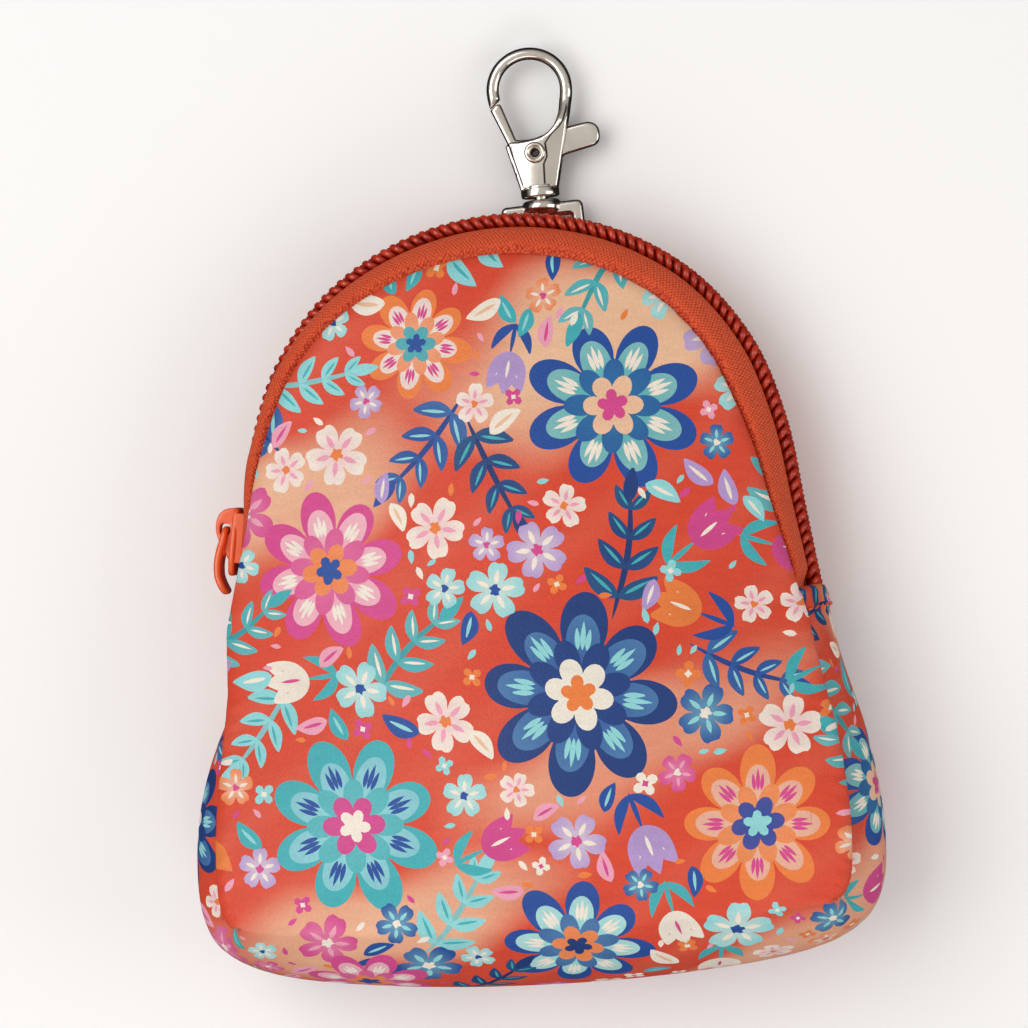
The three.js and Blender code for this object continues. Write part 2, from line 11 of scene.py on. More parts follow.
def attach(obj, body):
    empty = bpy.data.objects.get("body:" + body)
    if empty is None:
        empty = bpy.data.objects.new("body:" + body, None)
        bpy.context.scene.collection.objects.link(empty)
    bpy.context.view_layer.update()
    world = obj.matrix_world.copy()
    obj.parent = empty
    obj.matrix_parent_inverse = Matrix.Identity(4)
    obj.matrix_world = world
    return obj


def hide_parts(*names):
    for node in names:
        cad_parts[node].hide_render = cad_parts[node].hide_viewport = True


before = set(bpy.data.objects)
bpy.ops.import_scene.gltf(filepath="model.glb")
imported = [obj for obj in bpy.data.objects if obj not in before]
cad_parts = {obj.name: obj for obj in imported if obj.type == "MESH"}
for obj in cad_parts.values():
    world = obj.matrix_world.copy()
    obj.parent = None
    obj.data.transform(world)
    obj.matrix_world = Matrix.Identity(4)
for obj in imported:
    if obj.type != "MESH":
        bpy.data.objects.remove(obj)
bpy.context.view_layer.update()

# Printed cover: front, bottom and both gussets, cut from one piece of coated cloth with a fine
# pebbled grain. A dart is sewn down each side of the front, from the end of the zip to the lower
# corner, and below it the cloth runs on round the bottom without a seam. Shapes are in millimetres.
MM = 0.001
COLUMNS = ("x", "y", "front_in", "front_z", "crest_z", "back_in", "back_z", "bend", "fold")
HALF_OUTLINE = np.array([
    (0.0, 40.0, 6.8, 19.5, 11.0, 6.0, 4.5, 0.0, 0.0),
    (14.8, 37.4, 6.6, 19.7, 11.0, 5.8, 4.4, 0.0, 0.0),
    (27.6, 30.0, 6.0, 20.2, 11.2, 5.2, 4.2, 0.0, 0.0),
    (36.4, 19.0, 5.2, 21.0, 11.6, 4.4, 4.0, 0.0, 0.0),
    (40.9, 6.5, 4.4, 22.0, 12.0, 3.6, 3.8, 0.0, 0.0),
    (43.0, -7.0, 3.6, 23.0, 12.4, 3.0, 3.6, 0.0, 0.0),
    (44.8, -18.7, 3.0, 24.0, 12.8, 2.6, 3.5, 0.0, 0.0),
    (47.0, -30.0, 3.6, 26.5, 13.5, 2.8, 3.6, 0.0, 0.8),
    (50.1, -41.4, 4.6, 29.5, 14.5, 3.2, 3.8, 0.0, 1.6),
    (51.9, -54.0, 5.4, 32.5, 15.5, 3.6, 4.0, 0.0, 1.8),
    (51.3, -64.0, 5.8, 34.0, 16.0, 4.0, 4.0, 0.3, 0.8),
    (47.4, -70.0, 6.8, 34.5, 16.0, 4.6, 4.0, 0.8, 0.0),
    (38.0, -73.8, 8.6, 35.0, 16.2, 5.0, 4.0, 1.0, 0.0),
    (20.0, -76.0, 9.6, 35.5, 16.5, 5.2, 4.0, 1.0, 0.0),
    (0.0, -76.7, 10.0, 35.5, 16.5, 5.2, 4.0, 1.0, 0.0),
])
MIRRORED = HALF_OUTLINE[-2:0:-1] * np.array([-1] + [1] * (len(COLUMNS) - 1))
ROWS = np.vstack([HALF_OUTLINE, MIRRORED])
ZIP_END_ROW = 6
RIGHT_END, LEFT_END = ZIP_END_ROW, len(ROWS) - ZIP_END_ROW
CORNER_ROW = 10.6
HEM_GAP = 0.6
COVER_THICK = 1.4
FRONT_CENTRE_Y = -30.0
FRONT_RISE = 12.0
ROLL_COSINE = 0.84
SLACK_HIGH, RIPPLE_HIGH, EDGE_HOLD = 0.22, 0.12, 4
# The gusset's tuck under the front's edge: the level of its middle, and half its width
FOLD_AT, FOLD_HALF = 0.8, 0.2
# Soft dents of the front: x, y, radius each way, depth; a swell is negative
DENTS = (
    (-16, 12, 15, 11, 0.9),
    (19, -6, 12, 18, 0.8),
    (-30, -38, 12, 16, 1.0),
    (36, -58, 9, 12, 1.1),
    (4, -60, 20, 8, -0.8),
)


def unit(vectors):
    return vectors / np.maximum(np.linalg.norm(vectors, axis=-1, keepdims=True), 1e-12)


def outline_at(u):
    """Every column of the outline at row places u, and the inward direction in plan."""
    u = np.atleast_1d(np.asarray(u, float)) % len(ROWS)
    first = np.floor(u).astype(int)
    f = (u - first)[:, None]
    a, b, c, d = (ROWS[(first + k) % len(ROWS)] for k in (-1, 0, 1, 2))
    linear = (c - a) / 2
    square = a - 2.5 * b + 2 * c - d / 2
    cube = (d - a) / 2 + 1.5 * (b - c)
    value = b + f * (linear + f * (square + f * cube))
    along = unit((linear + f * (2 * square + 3 * f * cube))[:, :2])
    place = SimpleNamespace(**{name: value[:, k] for k, name in enumerate(COLUMNS)})
    place.inward = np.stack([along[:, 1], -along[:, 0]], axis=1)
    return place


def wall_point(place, inset, z):
    return np.column_stack([
        place.x + place.inward[:, 0] * inset,
        place.y + place.inward[:, 1] * inset,
        np.broadcast_to(z, place.x.shape),
    ])


def round_off(share):
    """Drop of a quarter circle, at a share of its width."""
    return 1 - np.sqrt(np.clip(1 - share**2, 0, None))


def side_profile(place, level, crest_in):
    """Inset and height of the side wall: level 1 is the front edge, 0 the widest line, -1 the back."""
    column = {name: getattr(place, name)[:, None] for name in COLUMNS}
    up = level > 0
    edge_in = np.where(up, column["front_in"], column["back_in"])
    rise = np.where(up, column["front_z"] - column["crest_z"], column["crest_z"] - column["back_z"])
    crease = level**2
    rolled = round_off(level * ROLL_COSINE) / round_off(ROLL_COSINE)
    share = np.where(up, crease + (rolled - crease) * column["bend"], crease)
    tuck = column["fold"] * np.clip(1 - ((level - FOLD_AT) / FOLD_HALF) ** 2, 0, None)
    return crest_in + (edge_in - crest_in) * share + tuck, column["crest_z"] + rise * level


# The flat cloth: the front lies in plan, and past its edge the side wall is laid out straight away
# from one centre, as far as it runs down the wall
FLAT_CENTRE = np.array([0.0, -20.0])
EDGE_U = np.linspace(0, len(ROWS), 2801)
LEVELS = np.linspace(1, -1, 97)


def turn_of(flat):
    """Turn of points about the flat cloth's centre, clockwise from +Y, and their distance from it."""
    away = flat - FLAT_CENTRE
    return np.arctan2(away[:, 0], away[:, 1]) % (2 * math.pi), np.hypot(*away.T)


def turn_table(edge):
    """Turn and distance of the points of a closed edge, with the turn rising all the way."""
    turn, reach = turn_of(edge[:, :2])
    turn = np.unwrap(turn)
    return np.maximum.accumulate(turn - turn[0]), reach


edge_place = outline_at(EDGE_U)
EDGE = wall_point(edge_place, edge_place.front_in, edge_place.front_z)
EDGE_TURN, EDGE_REACH = turn_table(EDGE)
EDGE_HALF = EDGE[: len(EDGE) // 2 + 1]
HALF_FALL = np.maximum.accumulate(-EDGE_HALF[:, 1]) + np.linspace(0, 1e-4, len(EDGE_HALF))


def unroll(flat):
    """Row place of each point of the flat cloth, and how far it lies beyond the front's edge."""
    turn, reach = turn_of(flat)
    return np.interp(turn, EDGE_TURN, EDGE_U), reach - np.interp(turn, EDGE_TURN, EDGE_REACH)


def roll_out(u, beyond):
    turn = np.interp(u, EDGE_U, EDGE_TURN)
    reach = np.interp(u, EDGE_U, EDGE_REACH) + beyond
    return FLAT_CENTRE + np.column_stack([reach * np.sin(turn), reach * np.cos(turn)])


def inside_front(x, y):
    edge_x = np.interp(-y, HALF_FALL, EDGE_HALF[:, 0])
    across = np.clip(np.abs(x) / np.maximum(edge_x, 1e-3), 0, 1)
    end = np.where(y > FRONT_CENTRE_Y, EDGE_HALF[0, 1], EDGE_HALF[-1, 1])
    along = (y - FRONT_CENTRE_Y) / (end - FRONT_CENTRE_Y)
    return (1 - across**2) * np.clip(1 - along**2, 0, None)


def front_point(flat):
    """The front: as high as its edges at each y, crowned between them, with dents and slack."""
    x, y = flat.T
    inside = inside_front(x, y)
    z = np.interp(-y, HALF_FALL, EDGE_HALF[:, 2]) + FRONT_RISE * inside
    held = np.clip(EDGE_HOLD * inside, 0, 1)
    for dent_x, dent_y, reach_x, reach_y, depth in DENTS:
        away = ((x - dent_x) / reach_x) ** 2 + ((y - dent_y) / reach_y) ** 2
        z = z - depth * np.exp(-away) * held
    slack = SLACK_HIGH * np.sin(x / 9 + 1.3) * np.sin(y / 11 + 0.4)
    slack = slack + RIPPLE_HIGH * np.sin(x / 5.1 - y / 6.3)
    return np.column_stack([x, y, z + slack * held])


def side_run(place):
    inset, z = side_profile(place, np.broadcast_to(LEVELS, (len(place.x), len(LEVELS))), 0.0)
    run = np.cumsum(np.hypot(np.diff(inset), np.diff(z)), axis=1)
    return inset, z, np.pad(run, ((0, 0), (1, 0)))


def side_length(u):
    """Length of the cloth down the side wall, from the front's edge to its hem at the back."""
    place = outline_at(u)
    run = side_run(place)[2]
    hem_level = -1 + HEM_GAP / (place.crest_z - place.back_z)
    return np.array([np.interp(-level, -LEVELS, row) for level, row in zip(hem_level, run)])


def side_point(u, beyond):
    place = outline_at(u)
    inset, z, run = side_run(place)
    k = np.clip((run < beyond[:, None]).sum(axis=1) - 1, 0, len(LEVELS) - 2)
    row = np.arange(len(k))
    f = (beyond - run[row, k]) / (run[row, k + 1] - run[row, k])
    inset_here = inset[row, k] + f * (inset[row, k + 1] - inset[row, k])
    z_here = z[row, k] + f * (z[row, k + 1] - z[row, k])
    return wall_point(place, inset_here, z_here)


def smooth_step(low, high, value):
    t = np.clip((value - low) / (high - low), 0, 1)
    return t * t * (3 - 2 * t)


def swell(span, value):
    """Rises over the first two of four places, and falls over the last two."""
    return smooth_step(*span[:2], value) * (1 - smooth_step(*span[2:], value))


def at_places(places, known, table):
    """Every column of a table, read between its known places."""
    return np.column_stack([np.interp(places, known, column) for column in np.transpose(table)])


def from_zip_end(u):
    """Rows below the end of the zip, on either side."""
    return np.minimum(u - RIGHT_END, LEFT_END - u)


# The front's edge rolls over and laps the gusset and the zip, which come out from under it
EDGE_ROLL, EDGE_LAP, ZIP_LAP = 1.3, 0.6, 0.5
SEAM_TUCK, SEAM_DEPTH, SEAM_DEEPER, SEAM_HALF, ZIP_TUCK = 0.9, 1.8, 0.9, 1.6, 0.5
# In rows below the zip's end: where the dart starts, is full, eases and ends; where it grows deeper;
# and where the zip gives way to it
DART_ROWS, DEEPER_ROWS, ZIP_ROWS = (-0.1, 0.15, 4.4, 5.1), (0.5, 4.2), (-0.15, 0.1)
PUCKER, PUCKER_PITCH, PUCKER_REACH, ZIP_PUCKER = 0.13, 3.3, 2.6, 0.4
WANDER, WANDER_PITCH = 1.3, 11
HEM_FOLD, HEM_EASE, HEM_ROLL, HEM_PROUD, ROW_LENGTH = 4.0, 0.5, 1.1, 0.45, 11.7
# Distance down the wall over which the gusset's own shape comes in
GUSSET_DOWN = (0.4, 2.5)
# The soft front has slipped to the left of the zip: y, slip of its left edge, slip of its right edge
SLIP = np.array([
    (-50, 0.0, 0.0), (-40, 0.1, 0.1), (-30, 0.8, 0.2), (-24, 1.6, 0.5), (-19, 2.15, 0.9),
    (-6, 1.7, 1.6), (12, 1.1, 2.5), (24, 1.5, 1.8), (36, 0.8, 0.8),
])
SLIP_Z, SLIP_HALF = (12.0, 21.0), 40.0
# The left gusset is drawn in behind the front at the end of the zip, over these rows and heights
DRAWN_IN, DRAWN_ROWS, DRAWN_Z = 2.9, (19.2, LEFT_END - 0.3), (5.0, 12.0)
# Beside the dart each gusset is hollow, more so towards the lower corner: along it, and down the wall
HOLLOW, HOLLOW_ROWS, HOLLOW_DOWN = 2.6, (0.3, 3.6, 4.3, 5.2), (0.4, 3.2, 5.0, 14.0)
# Room between the seams and the inner skin: beside the zip, more beside the dart, and how far it goes
CLEAR_ZIP, CLEAR_DART, CLEAR_ROWS, CLEAR_HALF = 1.6, 2.4, (0, 2.5), 3


def slipped(point):
    """Points of the pouch after the front has slipped sideways."""
    left, right = at_places(point[:, 1], SLIP[:, 0], SLIP[:, 1:]).T
    share = np.clip(point[:, 0] / (2 * SLIP_HALF) + 0.5, 0, 1)
    height = smooth_step(*SLIP_Z, point[:, 2])
    return point - np.outer((left + (right - left) * share) * height, (1, 0, 0))


def cover_base(flat):
    """The pouch's smooth shape, before seams and hems."""
    u, beyond = unroll(flat)
    past = beyond > 0
    point = front_point(flat)
    point[past] = side_point(u[past], beyond[past])
    return point, u, beyond


def gusset_tuck(u, beyond, z):
    """How far the gussets lie in: drawn in at the zip's left end, and hollow beside the darts."""
    hollow = HOLLOW * swell(HOLLOW_ROWS, from_zip_end(u)) * swell(HOLLOW_DOWN, beyond)
    drawn = smooth_step(*DRAWN_ROWS, u) * smooth_step(*DRAWN_Z, z) * (u < LEFT_END + 0.01)
    return hollow + DRAWN_IN * drawn * smooth_step(*GUSSET_DOWN, beyond)


def cover_point(flat):
    """Where each point of the flat cloth lies on the sewn pouch."""
    point, u, beyond = cover_base(flat)
    below = from_zip_end(u)
    dart = swell(DART_ROWS, below)
    zipped = 1 - smooth_step(*ZIP_ROWS, below)
    edge = np.clip(1 + beyond / EDGE_ROLL, 0, 1) * (beyond < 0)
    under = np.exp(-((beyond / SEAM_HALF) ** 2)) * (beyond >= 0)
    tuck = (SEAM_TUCK * dart + ZIP_TUCK * zipped) * under - EDGE_LAP * edge**2 * (dart + ZIP_LAP * zipped)
    depth = SEAM_DEPTH * (1 + SEAM_DEEPER * smooth_step(*DEEPER_ROWS, below))
    drop = EDGE_ROLL * round_off(edge) * (dart + zipped) + (depth * dart + EDGE_ROLL * zipped) * under
    run = 2 * math.pi * u * ROW_LENGTH
    wave = np.sin(run / PUCKER_PITCH + WANDER * np.sin(run / WANDER_PITCH))
    pucker = PUCKER * wave * np.exp(-np.abs(beyond) / PUCKER_REACH) * (dart + ZIP_PUCKER * zipped)
    # The gusset's top edge is folded under: its rim rolls in, and the doubled cloth stands a little proud
    hem_at = below * ROW_LENGTH
    roll = np.clip(1 - hem_at / HEM_ROLL, 0, 1)
    hem = 1 - smooth_step(HEM_FOLD - HEM_EASE, HEM_FOLD + HEM_EASE, hem_at)
    tuck = tuck + smooth_step(*GUSSET_DOWN, beyond) * (HEM_ROLL * round_off(roll) - HEM_PROUD * hem)
    tuck = tuck + gusset_tuck(u, beyond, point[:, 2])
    point[:, :2] += outline_at(u).inward * tuck[:, None]
    point[:, 2] -= drop - pucker
    return slipped(point)


def cover_inside(flat, normals):
    """The cover's hidden inner skin, kept well clear of the seams."""
    point, u, beyond = cover_base(flat)
    clear = CLEAR_ZIP + CLEAR_DART * smooth_step(*CLEAR_ROWS, from_zip_end(u))
    clear = clear * np.exp(-((beyond / CLEAR_HALF) ** 2))
    tuck = gusset_tuck(u, beyond, point[:, 2])
    point = point - normals * (COVER_THICK + clear)[:, None]
    point[:, :2] += outline_at(u).inward * tuck[:, None]
    return slipped(point)


# The print's colours, as painted
def paint(code):
    """A colour as the shaders want it, from its screen value."""
    parts = [int(code[k:k + 2], 16) / 255 for k in (0, 2, 4)]
    return np.array([c / 12.92 if c <= 0.04045 else ((c + 0.055) / 1.055) ** 2.4 for c in parts])


CORAL, PEACH = paint("dd4527"), paint("f0c09c")
BLUE, NAVY, TEAL, AQUA = paint("1b4c9e"), paint("143a7c"), paint("3fb0b8"), paint("93d9dc")
MAGENTA, PINK, LAVENDER = paint("d9468f"), paint("f0a3ba"), paint("b79ad2")
CREAM, ORANGE, TOMATO = paint("f5eadb"), paint("f0813c"), paint("cf3a22")
# Airbrushed pale patches of the ground: x, y, half length, half width, turn in degrees, strength
PATCHES = (
    (20, 22, 34, 13, 24, 1.0),
    (-34, -2, 24, 10, 18, 0.85),
    (16, -40, 30, 8, 22, 0.55),
    (-24, -66, 30, 8, 14, 0.8),
    (46, -74, 22, 9, 30, 0.7),
    (-70, -30, 20, 14, 60, 0.8),
    (66, -24, 20, 15, -60, 0.9),
)
PATCH_FADE, PATCH_WAVE, GROUND_WAVE = (1.25, 0.45), 0.18, 0.05


def ground_colour(flat):
    """The cloth's coral ground with its pale patches, before the motifs."""
    x, y = flat.T
    pale = np.zeros(len(flat))
    for patch_x, patch_y, length, width, turn, strength in PATCHES:
        c, s = math.cos(math.radians(turn)), math.sin(math.radians(turn))
        along = ((x - patch_x) * c + (y - patch_y) * s) / length
        across = ((y - patch_y) * c - (x - patch_x) * s) / width
        across = across + PATCH_WAVE * np.sin(x / 5.3 + y / 8.1)
        pale = np.maximum(pale, strength * smooth_step(*PATCH_FADE, np.hypot(along, across)))
    pale = np.clip(pale + GROUND_WAVE * np.sin(x / 3.1 - y / 2.3), 0, 1)
    return CORAL + (PEACH - CORAL) * pale[:, None]


# Motifs of the print: each is a list of painted shapes, from the bottom one up, as an outline about
# the motif's own centre and its colour, or the colours at its middle and at its rim
EDGE_STEP, LEAST_POINTS = 0.62, 8
draw = random.Random(41)


def run_along(points):
    """Distance along a line of points, from its first one."""
    return np.concatenate([[0], np.cumsum(np.hypot.reduce(np.diff(points, axis=0), axis=1))])


def evenly(points, pitch=EDGE_STEP):
    """A closed outline with its points spread evenly along it."""
    ends = np.vstack([points, points[:1]])
    run = run_along(ends)
    count = max(LEAST_POINTS, int(run[-1] / pitch))
    return at_places(np.linspace(0, run[-1], count, endpoint=False), run, ends)


def turned(points, angle, at=(0.0, 0.0)):
    c, s = math.cos(angle), math.sin(angle)
    return points @ np.array([[c, s], [-s, c]]) + np.array(at)


def toward(angle, reach):
    return reach * np.array([math.cos(angle), math.sin(angle)])


def petals_outline(radius, petals, waist, fullness, notch=0.0, turn=0.0):
    """A ring of petals: waist is the reach between two petals, notch the dip at each tip."""
    t = np.linspace(0, 2 * math.pi, petals * 22, endpoint=False)
    lobe = np.abs(np.sin(petals * t / 2))
    reach = waist + (1 - waist) * lobe**fullness - notch * lobe**16
    shake = draw.uniform(0, 6)
    reach = radius * reach * (1 + 0.035 * np.sin(2 * t + shake) + 0.02 * np.sin(5 * t + 2 * shake))
    return turned(np.column_stack([reach * np.cos(t), reach * np.sin(t)]), turn)


def leaf_outline(length, width, sway=0.0):
    """A leaf from its stalk at the origin to its tip, along +X."""
    t = np.linspace(0, 1, 20)
    half = width / 2 * np.sin(math.pi * t**0.8) ** 0.85
    spine = sway * length * np.sin(math.pi * t)
    upper = np.column_stack([length * t, spine + half])
    lower = np.column_stack([length * t, spine - half])
    return np.vstack([upper, lower[-2:0:-1]])


def stroke_outline(start, end, width, sway=0.0):
    along = np.array(end) - np.array(start)
    angle = math.atan2(along[1], along[0])
    return turned(leaf_outline(np.hypot(*along), width, sway), angle, start)


def large_flower(radius, colours):
    dark, mid, vein, ring, heart = colours
    count = draw.choice((8, 9))
    between = math.pi / count
    shapes = [
        (petals_outline(radius, count, 0.5, 0.62), dark),
        (petals_outline(0.8 * radius, count, 0.45, 0.7), mid, mid * 0.75 + vein * 0.25),
        (petals_outline(0.55 * radius, count, 0.5, 0.7, turn=between), dark * 0.7 + mid * 0.3, dark),
    ]
    for k in range(count):
        angle = (k + 0.5) * 2 * math.pi / count
        for spread, reach in ((-0.1, 0.68), (0.0, 0.74), (0.1, 0.68)):
            tip = toward(angle + spread, radius)
            shapes.append((stroke_outline(0.44 * tip, reach * tip, 0.055 * radius), vein))
    shapes.append((petals_outline(0.36 * radius, 6, 0.55, 0.7, turn=0.3), ring, ring * 0.8 + vein * 0.2))
    shapes.append((petals_outline(0.19 * radius, 5, 0.5, 0.8), heart))
    return shapes


def blossom(radius, colours):
    petal, inner, heart = colours
    shapes = [(petals_outline(radius, 5, 0.36, 0.55, notch=0.12), inner * 0.5 + petal * 0.5, petal)]
    for k in range(5):
        tip = toward((k + 0.5) * 2 * math.pi / 5, radius)
        shapes.append((stroke_outline(0.2 * tip, 0.68 * tip, 0.17 * radius), inner))
    shapes.append((petals_outline(0.22 * radius, 5, 0.5, 0.8), heart))
    return shapes


def sprig(radius, colours):
    blade, rib = colours
    sway = draw.uniform(-0.12, 0.12)
    shapes = [(stroke_outline((-radius, 0), (radius, 0), 0.09 * radius, sway), blade * 0.8)]
    for k in range(4):
        t = 0.16 + 0.2 * k
        root = np.array([2 * radius * t - radius, sway * 2 * radius * math.sin(math.pi * t)])
        size = radius * (0.62 - 0.07 * k)
        for side in (-1, 1):
            angle = side * (0.95 - 0.1 * k)
            outline = turned(leaf_outline(size, 0.4 * size, 0.05 * side), angle, root)
            start, tip = (root + toward(angle, share * size) for share in (0.16, 0.8))
            shapes.append((outline, blade, blade * 0.85 + rib * 0.15))
            shapes.append((stroke_outline(start, tip, 0.08 * size), rib))
    end = np.array([0.62 * radius, sway * 0.8 * radius])
    shapes.append((turned(leaf_outline(0.5 * radius, 0.2 * radius), 0, end), blade))
    return shapes


def bell(radius, colours):
    cup, stripe, stalk = colours
    shapes = [(stroke_outline((-radius, 0), (-0.1 * radius, 0), 0.12 * radius), stalk)]
    for side in (-1, 1):
        leaf = leaf_outline(0.95 * radius, 0.26 * radius, 0.1 * side)
        shapes.append((turned(leaf, side * 0.6, (-0.95 * radius, 0)), stalk))
    for angle in (-0.42, 0.42, 0.0):
        petal = turned(leaf_outline(1.15 * radius, 0.56 * radius), angle, (-0.2 * radius, 0))
        tip = toward(angle, 0.75) * radius - np.array([0.2 * radius, 0])
        shapes.append((petal, cup * 0.9, cup))
        shapes.append((stroke_outline((0.02 * radius, 0), tip, 0.09 * radius), stripe))
    return shapes


def single_leaf(radius, colours):
    blade, rib = colours
    vein = stroke_outline((-0.7 * radius, 0.08 * radius), (0.6 * radius, 0.12 * radius), 0.2 * radius)
    return [(stroke_outline((-radius, 0), (radius, 0), 0.95 * radius, 0.08), blade), (vein, rib)]


def floret(radius, colours):
    rings = [petals_outline(radius, 4, 0.34, 0.7), petals_outline(0.32 * radius, 4, 0.6, 1.0)]
    return list(zip(rings, colours))


def seed(radius, colours):
    return [(stroke_outline((-radius, 0), (radius, 0), 0.9 * radius), colours[0])]


# Large flowers are listed for the front and for the strip of gussets and bottom: x, y, radius and
# colours, which are those of the petals, their middles, the veins, the ring and the heart
BLUE_FLOWER, PINK_FLOWER = (BLUE, TEAL, CREAM, PEACH, MAGENTA), (MAGENTA, PINK, CREAM, ORANGE, BLUE)
NAVY_FLOWER, TEAL_FLOWER = (NAVY, BLUE, AQUA, CREAM, ORANGE), (TEAL, AQUA, BLUE, MAGENTA, CREAM)
FRONT_FLOWERS = (
    (17.5, 9.5, 13.0, BLUE_FLOWER),
    (-26.0, -12.5, 11.5, PINK_FLOWER),
    (9.0, -32.5, 14.5, NAVY_FLOWER),
    (-25.5, -50.0, 13.0, TEAL_FLOWER),
    (33.5, -53.0, 11.0, (ORANGE, PEACH, MAGENTA, BLUE, AQUA)),
    (6.0, -70.5, 11.0, (BLUE, AQUA, CREAM, ORANGE, NAVY)),
    (-12.0, 20.5, 8.5, (ORANGE, CREAM, MAGENTA, TEAL, BLUE)),
)
STRIP_FLOWERS = (
    (31.0, 14.0, 10.0, BLUE_FLOWER),
    (128.0, 14.0, 10.0, PINK_FLOWER),
    (172.0, 16.0, 10.5, NAVY_FLOWER),
)
SPRIG_PAINTS = ((TEAL, CREAM), (BLUE, AQUA), (AQUA, TEAL), (NAVY, TEAL))
BELL_PAINTS = (
    (MAGENTA, CREAM, TEAL), (LAVENDER, CREAM, BLUE), (CREAM, MAGENTA, TEAL), (ORANGE, CREAM, BLUE),
)
BLOSSOM_PAINTS = (
    (MAGENTA, PINK, CREAM), (LAVENDER, CREAM, MAGENTA), (CREAM, PINK, ORANGE),
    (AQUA, CREAM, BLUE), (ORANGE, CREAM, MAGENTA), (BLUE, AQUA, CREAM),
)
LEAF_PAINTS = (
    (TEAL, AQUA), (AQUA, CREAM), (BLUE, AQUA), (CREAM, PEACH), (LAVENDER, CREAM), (PINK, MAGENTA),
)
FLORET_PAINTS = ((CREAM, MAGENTA), (PINK, CREAM), (AQUA, CREAM), (MAGENTA, CREAM), (ORANGE, CREAM))
# Smaller motifs are scattered: maker, smallest and largest radius, tries, colours, clear space
SCATTER = (
    (sprig, 9.0, 11.0, 90, SPRIG_PAINTS, 0.6),
    (bell, 5.6, 6.8, 120, BELL_PAINTS, 0.74),
    (blossom, 4.2, 5.8, 1400, BLOSSOM_PAINTS, 0.9),
    (blossom, 2.8, 3.8, 1600, BLOSSOM_PAINTS, 0.92),
    (single_leaf, 2.2, 3.2, 2600, LEAF_PAINTS, 0.66),
    (floret, 1.4, 2.1, 4200, FLORET_PAINTS, 0.98),
    (seed, 0.8, 1.2, 4000, FLORET_PAINTS, 0.95),
)
# Room a motif leaves: the share of its neighbour's radius that counts, and a gap
NEAR_SHARE, NEAR_GAP = 0.95, 0.2


def scatter(flowers, taken, size, allowed):
    """Places of motifs: the listed flowers, then as many scattered ones as find clear space."""
    placed = []
    for x, y, radius, colours in flowers:
        placed.append((large_flower, x, y, radius, colours, draw.uniform(0, 6)))
        taken.append((x, y, radius))
    low, high = size
    for maker, smallest, largest, tries, paints, clear in SCATTER:
        for _ in range(tries):
            x, y = draw.uniform(low[0], high[0]), draw.uniform(low[1], high[1])
            radius = draw.uniform(smallest, largest)
            colours, angle = draw.choice(paints), draw.uniform(0, 6)
            if not allowed(x, y, radius):
                continue
            room = clear * radius + NEAR_GAP
            if all(math.hypot(x - a, y - b) > room + NEAR_SHARE * r for a, b, r in taken):
                placed.append((maker, x, y, radius, colours, angle))
                taken.append((x, y, clear * radius))
    return placed


def shapes_of(placed, to_flat, sheet):
    """Painted shapes on the flat cloth, from the bottom one up."""
    shapes = []
    for maker, x, y, radius, colours, angle in placed:
        centre = to_flat(np.array([[x, y]]))[0]
        for outline, *paints in maker(radius, colours):
            local = evenly(turned(outline, angle))
            shapes.append(SimpleNamespace(
                outline=to_flat(local + np.array([x, y])), middle=paints[0], rim=paints[-1], sheet=sheet,
                centre=centre, radius=radius,
            ))
    return shapes


BOTTOM_FROM, BOTTOM_TO = CORNER_ROW + 0.4, len(ROWS) - CORNER_ROW - 0.4
bottom_u = np.linspace(BOTTOM_TO, BOTTOM_FROM, 200)
bottom_edge = at_places(bottom_u, EDGE_U, EDGE[:, :2])


def front_to_flat(points):
    """The front's own plan, with what hangs below its bottom edge laid down the side wall."""
    beyond = unroll(points)[1]
    edge_y = np.interp(points[:, 0], bottom_edge[:, 0], bottom_edge[:, 1])
    below = (beyond > 0) & (points[:, 1] < edge_y) & (np.abs(points[:, 0]) < bottom_edge[-1, 0])
    flat = points.copy()
    u = np.interp(points[below, 0], bottom_edge[:, 0], bottom_u)
    flat[below] = roll_out(u, edge_y[below] - points[below, 1])
    return flat


STRIP_SPARE = 1.5
strip_u = np.linspace(RIGHT_END - STRIP_SPARE, LEFT_END + STRIP_SPARE, 700)
strip_run = run_along(wall_point(outline_at(strip_u), 0.0, 0.0))
strip_run = strip_run - np.interp(RIGHT_END, strip_u, strip_run)
STRIP_LENGTH = np.interp(LEFT_END, strip_u, strip_run)


def strip_to_flat(points):
    return roll_out(np.interp(points[:, 0], strip_run, strip_u), points[:, 1])


# Where a motif may lie: clear of the lower corners, over the edge by a share of its radius, and at the
# bottom some way down the wall; beside the bottom's edge the strip's motifs keep clear of the front's
CORNER_X, BOTTOM_Y, OVER_EDGE, DOWN_BOTTOM = 37, -60, 0.6, 14
CORNER_SPARE, STRIP_TOP, STRIP_GAP = 0.2, 0.5, 0.4


def front_allowed(x, y, radius):
    beyond = unroll(np.array([[x, y]]))[1][0]
    if abs(x) + radius > CORNER_X and y - radius < BOTTOM_Y:
        return False
    return beyond < OVER_EDGE * radius or (y < BOTTOM_Y and beyond < DOWN_BOTTOM)


front_taken = []
front_motifs = scatter(FRONT_FLOWERS, front_taken, ((-50, -82), (50, 37)), front_allowed)


def strip_allowed(x, y, radius):
    u = np.interp(x, strip_run, strip_u)
    if not CORNER_ROW - CORNER_SPARE < u < len(ROWS) - CORNER_ROW + CORNER_SPARE:
        return True
    if y < radius + STRIP_TOP:
        return False
    edge_x, edge_y = at_places(u, EDGE_U, EDGE[:, :2])[0]
    return all(math.hypot(edge_x - a, edge_y - y - b) > radius + r + STRIP_GAP for a, b, r in front_taken)


